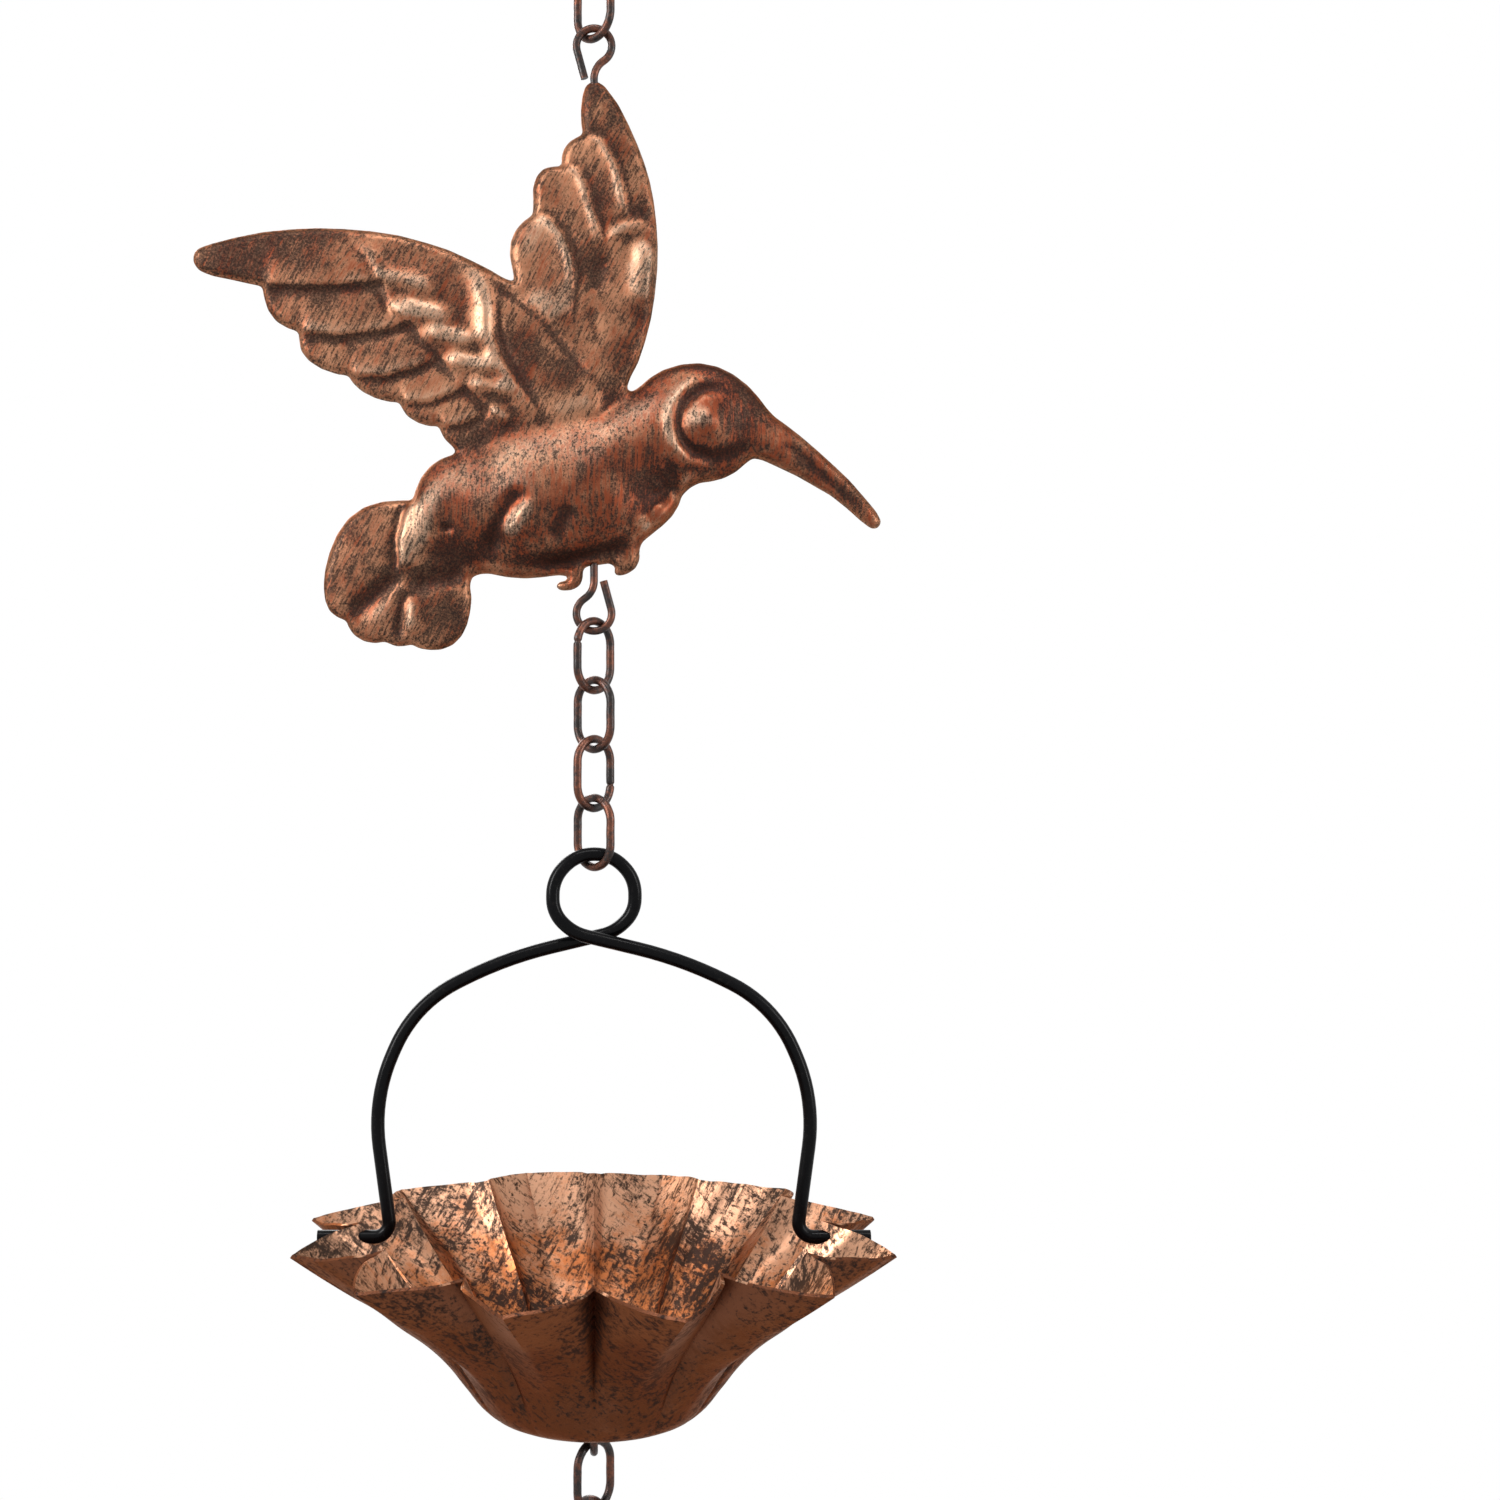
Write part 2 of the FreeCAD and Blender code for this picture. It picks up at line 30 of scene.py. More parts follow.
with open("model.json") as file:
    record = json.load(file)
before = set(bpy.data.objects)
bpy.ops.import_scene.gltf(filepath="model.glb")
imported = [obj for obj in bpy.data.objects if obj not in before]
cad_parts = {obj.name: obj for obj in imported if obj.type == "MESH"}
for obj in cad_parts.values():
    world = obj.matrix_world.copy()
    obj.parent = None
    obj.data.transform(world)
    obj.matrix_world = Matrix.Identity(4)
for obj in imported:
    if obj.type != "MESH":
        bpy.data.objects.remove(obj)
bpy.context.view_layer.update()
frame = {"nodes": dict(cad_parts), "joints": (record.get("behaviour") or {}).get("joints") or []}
nodes = frame["nodes"]
MM = 0.001
joint_height = {joint["name"]: joint["pos_m"][2] / MM for joint in frame["joints"]}

# Bird, in its own frame with the origin on the rod at the belly.
BOTTOM_EYE_DROP = 9.7
BELLY_HEIGHT = joint_height["link_1_swing"] + BOTTOM_EYE_DROP
SHEET_WALL = 0.6
SHEET_RIM = 0.4
RELIEF_PITCH = 0.4
SWELLING_FULLNESS = 0.8
WING_FLAT_RISE = 1.1
WING_DOME_SHARE = 0.45
JOIN_SOFTNESS = 2.4
EDGE_ROLL = 1.8
OUTLINE_ROUNDING = 0.45
UNEVENNESS = 0.07
RELIEF_SEED = 7
# Swellings as rows of (x, z, radius, rise).
BODY_SWELLINGS = {
    "body": [(-25.1, 12.5, 10.6, 5.5), (-12.2, 14.6, 13.9, 7.5), (-0.8, 17.5, 14.4, 8.0),
             (7.2, 23.6, 10.6, 7.0), (20.7, 30.0, 11.7, 6.5)],
    "breast": [(3.0, 17.5, 10.0, 6.5), (11.0, 14.2, 5.3, 4.0)],
    "beak": [(25.5, 28.5, 8.9, 5.0), (33.1, 26.4, 4.9, 3.2), (40.3, 22.4, 3.0, 2.2),
             (44.6, 19.0, 2.2, 1.8), (49.0, 14.8, 1.6, 1.5), (53.0, 10.9, 1.3, 1.3)],
    "eye_ball": [(20.4, 29.4, 5.2, 7.7), (20.9, 29.3, 5.2, 7.7)],
    "left_claw": [(-2.7, 2.7, 2.3, 1.6), (-5.4, -0.8, 1.7, 1.2)],
    "right_claw": [(5.3, 6.7, 3.8, 2.2), (5.9, 3.8, 2.5, 1.6)],
    "rod_bead": [(0.0, 40.0, 3.0, 2.1), (0.0, 3.0, 2.6, 2.1)],
}
WING_SWELLINGS = {
    "tail_fan": [(-35.9, 6.1, 6.8, 3.0), (-39.9, 5.3, 9.2, 3.5), (-42.4, 0.6, 9.0, 3.2)],
    "tail_feather_1": [(-35.9, 0.0, 4.9, 2.6), (-42.9, -6.8, 4.8, 2.6)],
    "tail_feather_2": [(-35.3, -0.9, 4.8, 2.6), (-37.6, -7.6, 4.6, 2.6)],
    "tail_feather_3": [(-28.9, 1.5, 5.7, 3.2), (-30.6, -5.9, 7.2, 3.0)],
    "near_wing_edge": [(-73.3, 61.4, 2.9, 1.4), (-65.4, 61.0, 5.1, 2.0), (-55.9, 59.9, 7.0, 2.4),
                       (-46.4, 58.7, 7.8, 2.6), (-36.9, 56.8, 8.4, 2.8), (-26.4, 53.0, 8.7, 3.2),
                       (-16.9, 44.6, 9.9, 4.0), (-9.3, 34.2, 9.5, 5.0)],
    "near_feather_1": [(-57.6, 52.1, 4.6, 2.0), (-40.7, 52.2, 4.0, 2.2)],
    "near_feather_2": [(-50.7, 43.9, 4.8, 2.0), (-33.1, 45.6, 3.8, 2.2)],
    "near_feather_3": [(-41.0, 38.2, 4.3, 2.0), (-26.4, 40.3, 2.9, 2.2)],
    "near_feather_4": [(-32.3, 33.2, 3.9, 1.8), (-21.7, 34.8, 2.5, 2.0)],
    "near_feather_5": [(-25.6, 28.9, 3.4, 1.6), (-17.9, 30.4, 2.7, 2.0)],
    "near_wing_root": [(-24.6, 25.6, 1.9, 1.2), (-18.0, 27.0, 3.2, 2.0)],
    "far_wing_edge": [(0.0, 92.7, 2.1, 1.9), (1.9, 88.0, 4.1, 2.2), (4.2, 80.2, 6.2, 2.4),
                      (5.5, 70.3, 6.3, 2.4), (6.1, 60.8, 5.9, 2.6), (5.3, 51.3, 5.7, 3.0),
                      (3.0, 41.8, 5.3, 4.0)],
    "far_feather_1": [(-2.1, 80.6, 4.0, 2.0), (2.1, 66.5, 4.8, 2.4)],
    "far_feather_2": [(-7.2, 73.7, 4.6, 2.0), (-0.8, 60.8, 5.3, 2.4)],
    "far_feather_3": [(-10.3, 62.7, 5.5, 2.0), (-8.6, 55.9, 5.9, 2.4), (-3.6, 47.5, 6.5, 3.0)],
    "far_wing_root": [(-3.6, 49.4, 6.5, 3.0), (-0.8, 38.0, 7.2, 4.5)],
    "far_rod_bead": [(0.0, 92.0, 2.0, 2.1), (0.0, 60.0, 3.0, 2.1)],
}

# The bird's outline and its pressed lines, read off an enlargement of the photograph, with x along
# and y down. The enlargement starts at the pixel (ENLARGED_LEFT, ENLARGED_TOP).
PIXEL = 0.19
ROD_PIXEL_X = 594
BELLY_PIXEL_Y = 580
ENLARGEMENT = 2.208
ENLARGED_LEFT = 190
ENLARGED_TOP = 70
FAR_WING_OUTLINE = [
    (718, 470), (712, 440), (706, 410), (708, 380), (718, 355), (735, 335), (757, 320), (758, 290),
    (757, 260), (765, 235), (780, 218), (800, 213), (822, 213), (820, 195), (825, 175), (838, 158),
    (855, 148), (868, 143), (864, 120), (863, 90), (866, 60), (873, 35), (893, 22), (915, 35), (945, 75),
    (968, 120), (988, 165), (1003, 205), (1015, 245), (1024, 290), (1030, 340), (1033, 390), (1032, 440),
    (1026, 500), (1018, 550), (1005, 600), (990, 645), (972, 680), (963, 705),
]
HEAD_OUTLINE = [
    (975, 712), (995, 698), (1015, 680), (1045, 662), (1085, 650), (1125, 647), (1165, 655), (1200, 672),
    (1232, 697), (1255, 722), (1272, 745), (1290, 765), (1318, 785), (1350, 810), (1385, 840),
    (1420, 872), (1455, 905), (1490, 945), (1515, 975), (1527, 997), (1520, 1012), (1505, 1014),
    (1480, 995), (1450, 968), (1415, 940), (1380, 920), (1340, 897), (1300, 878), (1265, 862),
    (1243, 857), (1228, 868), (1205, 888), (1178, 902), (1150, 909), (1125, 912),
]
BODY_OUTLINE = [
    (1105, 922), (1086, 940), (1080, 960), (1065, 985), (1045, 1005), (1020, 1025), (998, 1043),
    (992, 1060), (993, 1082), (983, 1102), (963, 1114), (943, 1118), (934, 1110), (942, 1098),
    (926, 1089), (905, 1093), (885, 1094), (868, 1100), (867, 1125), (860, 1140), (842, 1149),
    (818, 1150), (806, 1142), (812, 1131), (834, 1128), (838, 1117), (815, 1115), (780, 1120),
    (740, 1123), (700, 1120), (660, 1112), (640, 1113),
]
TAIL_OUTLINE = [
    (622, 1120), (618, 1140), (622, 1165), (619, 1195), (612, 1225), (600, 1250), (580, 1270),
    (555, 1280), (530, 1281), (505, 1277), (490, 1268), (475, 1272), (455, 1273), (430, 1262),
    (410, 1266), (385, 1262), (362, 1248), (350, 1230), (345, 1215), (328, 1210), (308, 1195),
    (298, 1170), (295, 1140), (298, 1105), (308, 1065), (325, 1025), (350, 990), (385, 965), (425, 953),
    (470, 950), (492, 950), (497, 930), (510, 900), (530, 875), (555, 858),
]
NEAR_WING_OUTLINE = [
    (580, 850), (590, 843), (578, 830), (562, 815), (553, 797), (550, 786), (530, 787), (505, 780),
    (480, 765), (468, 747), (463, 734), (440, 733), (410, 725), (380, 710), (360, 692), (350, 675),
    (325, 672), (290, 660), (262, 642), (245, 620), (241, 595), (240, 578), (215, 570), (190, 555),
    (172, 530), (163, 500), (160, 478), (130, 472), (90, 463), (50, 455), (20, 443), (7, 425), (8, 405),
    (20, 393), (50, 383), (100, 370), (160, 358), (220, 352), (280, 349), (340, 351), (400, 356),
    (460, 365), (520, 381), (570, 397), (620, 420), (660, 440), (690, 458),
]
BIRD_OUTLINE = FAR_WING_OUTLINE + HEAD_OUTLINE + BODY_OUTLINE + TAIL_OUTLINE + NEAR_WING_OUTLINE
# Feather edges that overlap their neighbours like shingles: (height, reach, points), proud on the left
# of the way along.
SHINGLES = [
    (0.7, 9.0, [(160, 476), (240, 482), (330, 480), (405, 472), (440, 468)]),
    (0.7, 8.0, [(240, 580), (330, 590), (420, 580), (490, 560)]),
    (0.65, 7.0, [(350, 676), (430, 680), (500, 660), (548, 636)]),
    (0.6, 5.5, [(463, 735), (530, 735), (580, 716), (612, 700)]),
    (0.5, 4.5, [(551, 787), (600, 785), (645, 763)]),
    (0.5, 4.0, [(350, 370), (400, 420), (425, 470), (450, 535), (495, 568), (520, 602), (560, 642),
                (600, 692), (650, 742), (715, 785)]),
    (0.5, 5.0, [(968, 335), (955, 290), (945, 240), (930, 205), (905, 165), (870, 146)]),
    (0.5, 5.0, [(912, 398), (895, 340), (875, 290), (868, 258), (850, 228), (824, 214)]),
    (0.6, 6.0, [(835, 560), (845, 470), (838, 415), (820, 368), (790, 336), (760, 321)]),
    (0.9, 8.0, [(500, 940), (478, 985), (466, 1040), (468, 1110)]),
]
# Valleys: (depth, half width, points).
GROOVES = [
    (1.5, 1.9, [(745, 928), (718, 968), (692, 1005), (668, 1052), (655, 1092)]),
    (0.8, 1.6, [(842, 968), (822, 1008), (802, 1050)]),
    (1.0, 1.6, [(742, 1098), (830, 1090), (890, 1078), (985, 1046)]),
    (1.0, 1.1, [(1205, 730), (1160, 712), (1125, 716), (1096, 736), (1079, 765), (1075, 800), (1085, 830),
                (1108, 852), (1150, 862), (1200, 850), (1245, 828)]),
    (0.8, 1.1, [(668, 480), (678, 540), (680, 590), (702, 645), (742, 705), (785, 775)]),
    (0.35, 0.7, [(620, 425), (690, 492), (780, 562), (812, 602), (862, 662), (928, 732)]),
    (0.4, 1.4, [(968, 365), (975, 440)]),
    (0.4, 1.4, [(905, 415), (900, 500)]),
    (0.3, 1.3, [(880, 520), (905, 620)]),
    (0.45, 1.3, [(1062, 868), (1045, 920), (1010, 985)]),
    (0.6, 1.1, [(1285, 812), (1350, 858), (1420, 918), (1492, 985)]),
    (1.2, 2.0, [(470, 1112), (420, 1155), (345, 1212)]),
    (0.9, 1.4, [(480, 1145), (470, 1195), (456, 1262)]),
    (1.2, 1.9, [(478, 1152), (535, 1128), (615, 1118)]),
    (0.8, 1.0, [(572, 1008), (568, 1026)]),
]
# Rounded ridges: (height, half width, points).
RIDGES = [
    (1.1, 2.2, [(748, 950), (720, 1000), (688, 1048)]),
    (0.6, 1.2, [(1150, 694), (1100, 700), (1066, 735), (1056, 785), (1066, 835), (1098, 868), (1150, 880)]),
    (1.3, 2.1, [(575, 398), (612, 428), (642, 475), (657, 530), (656, 590), (680, 650),
                (720, 712), (772, 790)]),
    (1.0, 2.0, [(405, 455), (470, 472), (560, 494)]),
    (1.4, 1.9, [(440, 515), (510, 536), (595, 557)]),
    (1.4, 1.8, [(505, 575), (575, 592), (655, 615)]),
    (1.3, 1.6, [(558, 634), (625, 652), (690, 671)]),
    (1.0, 1.4, [(606, 688), (660, 703), (720, 722)]),
    (0.7, 1.2, [(656, 753), (710, 782)]),
    (1.3, 2.8, [(1000, 360), (1006, 440), (992, 545)]),
    (0.6, 1.3, [(918, 400), (935, 370), (962, 354), (1005, 350), (1030, 336)]),
    (0.6, 0.75, [(756, 318), (795, 345), (822, 380), (840, 430), (848, 500)]),
    (0.6, 0.75, [(820, 210), (856, 232), (872, 265), (884, 310), (908, 395)]),
    (0.6, 0.75, [(866, 142), (910, 168), (938, 220), (952, 280), (966, 340)]),
    (0.6, 2.4, [(745, 485), (800, 545), (832, 520)]),
    (0.8, 2.6, [(780, 775), (850, 745), (920, 738)]),
    (0.7, 1.4, [(486, 1160), (490, 1210), (492, 1258)]),
    (1.2, 3.2, [(560, 905), (528, 955), (510, 1010), (500, 1065), (505, 1110)]),
]
# Sooty smudges, partly painted shade, and painted highlights where the share is negative: (x, y, radius,
# share).
SMUDGES_AND_HIGHLIGHTS = [
    (90, 420, 9.0, 0.3), (250, 385, 9.0, 0.3), (745, 625, 5.0, 0.22), (832, 690, 5.0, 0.26),
    (1000, 320, 3.0, 0.25), (955, 640, 5.0, 0.25), (892, 85, 8.0, 0.28), (385, 1010, 7.0, 0.22),
    (350, 1120, 8.0, 0.2), (560, 1200, 7.0, 0.24), (600, 1070, 6.0, 0.26), (1150, 690, 10.0, 0.42),
    (1240, 775, 4.0, 0.24), (1030, 940, 5.0, 0.24), (905, 450, 4.0, 0.18), (620, 840, 4.0, 0.24),
    (500, 1150, 4.0, 0.24), (505, 1025, 4.5, -0.5), (510, 536, 3.0, -0.4), (578, 592, 3.0, -0.4),
    (628, 652, 2.6, -0.4), (655, 560, 3.0, -0.3), (1005, 440, 4.5, -0.4), (765, 375, 4.5, -0.3),
    (800, 510, 3.5, -0.3), (845, 750, 4.0, -0.25), (715, 985, 2.5, -0.3), (1120, 790, 3.0, -0.25),
]
# Drops of solder on the throat: (x, y, radius, rise).
SOLDER_DROPS = [
    (1000, 1006, 2.2, 0.6), (1040, 990, 2.8, 0.7), (1068, 962, 1.8, 0.5), (1015, 1018, 1.6, 0.5),
    (1100, 918, 2.6, 0.7), (1042, 890, 1.0, 0.35), (1030, 925, 1.2, 0.35), (1058, 915, 0.9, 0.3),
    (1062, 940, 0.8, 0.3),
]
# The section of a pressed line: a lip that rises over LIP_RISE, and a hollow in front of it.
LIP_RISE = (-0.7, 0.5)
LIP_FALL_POWER = 1.5
LIP_HOLLOW_SHARE = 0.35
LIP_HOLLOW_PLACE = 1.1
LIP_HOLLOW_WIDTH = 0.9
DROP_STEEPNESS = 1.4
# The share of a line's length over which its ends fade.
FADE_START = -0.02
SHINGLE_FADE = 0.12
GROOVE_FADE = 0.25
RIDGE_FADE = 0.35
# The rise of the wings over the body at which the wings' finish takes over, and the width of the body's
# surround outside which it always does.
WING_BORDER = (-1.5, 1.0)
BODY_SURROUND = 1.0
# Spreads of the blurs, and the depths inside the outline over which something fades in.
WING_BLUR = 1.5
WING_DOME_BLUR = 3.0
BODY_BLUR = 0.9
UNEVENNESS_BLUR = 2.0
FINE_BLUR = 0.25
FINE_FADE = (0.2, 1.6)
LEAST_RELIEF = 0.2
EDGE_FADE = (0.0, 0.9)
# Where soot and painted shade stay: below the surround of a fine or a coarse form, where the antique black
# is partly painted shade, on the down-facing slopes as painted shade, and off the rim. Slopes facing up and
# to the left get a painted highlight.
FINE_SURROUND = 2.2
FINE_SOOT_AND_SHADE_FADE = (0.4, 1.6)
COARSE_SURROUND = 2.5
COARSE_SOOT_AND_SHADE_FADE = (1.5, 4.0)
COARSE_SOOT_AND_SHADE_SHARE = 0.35
PAINTED_SLOPE_LIGHT_FADE = (1.0, 3.0)
LIT_SLOPE_SHARE = 0.5
LIT_SLOPE_LIMIT = 0.8
SHADED_SLOPE_SHARE = 0.4
SHADED_SLOPE_LIMIT = 0.9
RIM_RUB = 0.4
RIM_RUB_WIDTH = 0.45
# Stands for a distance beyond the whole bird.
FAR_AWAY = 1e3
# How far the grid goes past the outline.
GRID_MARGIN = 4 * RELIEF_PITCH
# The least share of a grid step between a rim corner and a grid place.
RIM_SNAP = 0.08


def bird_point(pixel):
    """A spot of the enlargement as (x, z) in the bird's own frame."""
    photo_x = ENLARGED_LEFT + pixel[0] / ENLARGEMENT
    photo_y = ENLARGED_TOP + pixel[1] / ENLARGEMENT
    return (photo_x - ROD_PIXEL_X) * PIXEL, (BELLY_PIXEL_Y - photo_y) * PIXEL


def smooth_step(low, high, value):
    """A smooth rise from 0 at low to 1 at high."""
    share = np.clip((value - low) / (high - low), 0.0, 1.0)
    return share * share * (3.0 - 2.0 * share)


def blurred(field, spread):
    """A field softened by a bell curve whose spread is given in millimetres."""
    reach = int(math.ceil(3 * spread / RELIEF_PITCH))
    offsets = np.arange(-reach, reach + 1) * RELIEF_PITCH
    bell = np.exp(-0.5 * (offsets / spread) ** 2)
    bell /= bell.sum()
    for axis in (0, 1):
        padded = np.pad(field, [(reach, reach) if side == axis else (0, 0) for side in (0, 1)], mode="edge")
        field = sum(weight * np.take(padded, range(shift, shift + field.shape[axis]), axis=axis)
                    for shift, weight in enumerate(bell))
    return field


def nearest_on(first, second, x, z):
    """For the segment between two spots: the share along it nearest each point, and how far away that is."""
    run_x, run_z = second[0] - first[0], second[1] - first[1]
    along = ((x - first[0]) * run_x + (z - first[1]) * run_z) / (run_x ** 2 + run_z ** 2)
    along = np.clip(along, 0.0, 1.0)
    return along, np.hypot(x - first[0] - along * run_x, z - first[1] - along * run_z)


def swelling_fields(rows, x, z):
    """For rows of swellings: how far inside their outline each point is, and how far it stands proud."""
    inside = np.full(x.shape, -FAR_AWAY)
    proud = np.zeros(x.shape)
    for row in rows.values():
        for first, second in zip(row, row[1:]):
            along, away = nearest_on(first, second, x, z)
            radius = first[2] + along * (second[2] - first[2])
            rise = first[3] + along * (second[3] - first[3])
            inside = np.maximum(inside, radius - away)
            dome = np.clip(1.0 - (away / radius) ** 2, 0.0, 1.0)
            proud = np.maximum(proud, rise * dome ** SWELLING_FULLNESS)
    return inside, proud


def line_fields(pixels, x, z):
    """Distance to a pressed line, the side of it (1 on the left) and the length share along it."""
    points = [bird_point(pixel) for pixel in pixels]
    lengths = [math.dist(first, second) for first, second in zip(points, points[1:])]
    distance = np.full(x.shape, FAR_AWAY)
    side = np.zeros(x.shape)
    share = np.zeros(x.shape)
    walked = 0.0
    for first, second, length in zip(points, points[1:], lengths):
        along, away = nearest_on(first, second, x, z)
        turn = np.sign((second[0] - first[0]) * (z - first[1]) - (second[1] - first[1]) * (x - first[0]))
        nearer = away < distance
        distance = np.where(nearer, away, distance)
        side = np.where(nearer, turn, side)
        share = np.where(nearer, (walked + along * length) / sum(lengths), share)
        walked += length
    return distance, side, share


def faded_ends(share, fade):
    """1 along a pressed line, falling to 0 over a share of its length at both ends."""
    return smooth_step(FADE_START, fade, share) * smooth_step(FADE_START, fade, 1.0 - share)


def outline_field(x, z):
    """How far inside the bird's outline each point is, with its corners a little rounded."""
    points = [bird_point(pixel) for pixel in BIRD_OUTLINE]
    distance = np.full(x.shape, FAR_AWAY)
    within = np.zeros(x.shape, dtype=bool)
    for (x1, z1), (x2, z2) in zip(points, points[1:] + points[:1]):
        distance = np.minimum(distance, nearest_on((x1, z1), (x2, z2), x, z)[1])
        if z1 != z2:
            crossed = (z1 > z) != (z2 > z)
            within ^= crossed & (x < x1 + (z - z1) * (x2 - x1) / (z2 - z1))
    return blurred(np.where(within, distance, -distance), OUTLINE_ROUNDING)


def pressed_lines(x, z):
    """The fine relief: shingled feather edges, valleys, ridges and drops of solder."""
    relief = np.zeros(x.shape)
    for height, reach, pixels in SHINGLES:
        distance, side, share = line_fields(pixels, x, z)
        signed = distance * side
        fall = np.clip(1.0 - signed / reach, 0.0, 1.0) ** LIP_FALL_POWER
        lip = smooth_step(*LIP_RISE, signed) * fall
        hollow = LIP_HOLLOW_SHARE * np.exp(-((signed + LIP_HOLLOW_PLACE) / LIP_HOLLOW_WIDTH) ** 2)
        relief += height * (lip - hollow) * faded_ends(share, SHINGLE_FADE)
    for sign, lines, fade in ((-1, GROOVES, GROOVE_FADE), (1, RIDGES, RIDGE_FADE)):
        for height, width, pixels in lines:
            distance, _, share = line_fields(pixels, x, z)
            relief += sign * height * np.exp(-(distance / width) ** 2) * faded_ends(share, fade)
    for pixel_x, pixel_y, radius, rise in SOLDER_DROPS:
        drop_x, drop_z = bird_point((pixel_x, pixel_y))
        away = np.hypot(x - drop_x, z - drop_z) / radius
        relief += rise * np.exp(-(DROP_STEEPNESS * away) ** 4)
    return relief


def soot_and_painted_light_field(x, z, inside, relief, coarse, fine):
    """How far each point stands out of the soot and painted shade: below 0 in hollows, on down-facing slopes
    as painted shade and in smudges; above 0 where rubbed, on slopes facing up and left as a painted
    highlight, and at spots of painted highlight.
    """
    # Darker in the fine and the coarse hollows: the antique black that the copper holds there, and painted
    # shade.
    hollow = (fine - blurred(fine, FINE_SURROUND)) * smooth_step(*FINE_SOOT_AND_SHADE_FADE, inside)
    sunk = coarse - blurred(coarse, COARSE_SURROUND)
    hollow += COARSE_SOOT_AND_SHADE_SHARE * sunk * smooth_step(*COARSE_SOOT_AND_SHADE_FADE, inside)
    # Painted light: slopes that face up and to the left, towards the key lamp, are made paler as a painted
    # highlight, and slopes that face down are made darker as painted shade.
    slope_x, slope_z = np.gradient(relief, RELIEF_PITCH)
    lit = LIT_SLOPE_SHARE * np.clip(slope_x - slope_z, 0.0, LIT_SLOPE_LIMIT)
    shaded = SHADED_SLOPE_SHARE * np.clip(slope_z, 0.0, SHADED_SLOPE_LIMIT)
    hollow += smooth_step(*PAINTED_SLOPE_LIGHT_FADE, inside) * (lit - shaded)
    hollow += RIM_RUB * np.exp(-(np.maximum(inside, 0.0) / RIM_RUB_WIDTH) ** 2)
    # Smudges of soot, partly painted shade, and spots of painted highlight where the share is negative.
    for pixel_x, pixel_y, radius, share in SMUDGES_AND_HIGHLIGHTS:
        mark_x, mark_z = bird_point((pixel_x, pixel_y))
        hollow -= share * np.exp(-((x - mark_x) ** 2 + (z - mark_z) ** 2) / radius ** 2)
    return hollow


def bird_fields():
    """The grid of the bird's front face with its outline, relief, hollows and wing share."""
    points = np.array([bird_point(pixel) for pixel in BIRD_OUTLINE])
    spans = zip(points.min(axis=0) - GRID_MARGIN, points.max(axis=0) + GRID_MARGIN)
    x, z = np.meshgrid(*[np.arange(low, high, RELIEF_PITCH) for low, high in spans], indexing="ij")
    inside = outline_field(x, z)
    body_inside, body_proud = swelling_fields(BODY_SWELLINGS, x, z)
    _, wing_proud = swelling_fields(WING_SWELLINGS, x, z)
    wing = smooth_step(*WING_BORDER, wing_proud - body_proud)
    wing = blurred(np.where(body_inside < -BODY_SURROUND, 1.0, wing), WING_BLUR)
    roll = 1.0 - (1.0 - np.clip(inside / EDGE_ROLL, 0.0, 1.0)) ** 2
    sheet = WING_FLAT_RISE * roll + WING_DOME_SHARE * blurred(wing_proud, WING_DOME_BLUR)
    body = blurred(body_proud, BODY_BLUR)
    gap = body - sheet
    coarse = (body + sheet + np.sqrt(gap ** 2 + JOIN_SOFTNESS ** 2) - JOIN_SOFTNESS) / 2
    unevenness = blurred(np.random.default_rng(RELIEF_SEED).normal(size=x.shape), UNEVENNESS_BLUR)
    fine = blurred(pressed_lines(x, z), FINE_BLUR) + UNEVENNESS * unevenness / unevenness.std()
    relief = np.maximum(coarse + fine * smooth_step(*FINE_FADE, inside), LEAST_RELIEF)
    relief *= smooth_step(*EDGE_FADE, inside)
    return x, z, inside, relief, soot_and_painted_light_field(x, z, inside, relief, coarse, fine), wing


def outlined_grid(inside):
    """Faces of a grid cut along the line where a field falls to zero: (corner pairs, faces).

    A corner pair is two grid places and the share of the way between them, which are the same place for
    a plain corner."""
    columns, rows = inside.shape
    corners, index, faces = [], {}, []

    def corner(first, second=None):
        key = (first, second) if second is None or first < second else (second, first)
        if key not in index:
            index[key] = len(corners)
            share = 0.0
            if second is not None:
                low, high = inside[key[0]], inside[key[1]]
                share = min(1 - RIM_SNAP, max(RIM_SNAP, low / (low - high)))
            corners.append((key[0], key[1] or key[0], share))
        return index[key]

    for column in range(columns - 1):
        for row in range(rows - 1):
            ring = [(column, row), (column + 1, row), (column + 1, row + 1), (column, row + 1)]
            kept = [inside[place] > 0 for place in ring]
            if not any(kept):
                continue
            face = []
            for number in range(4):
                after = (number + 1) % 4
                if kept[number]:
                    face.append(corner(ring[number]))
                if kept[number] != kept[after]:
                    face.append(corner(ring[number], ring[after]))
            faces.append(face)
    return corners, faces


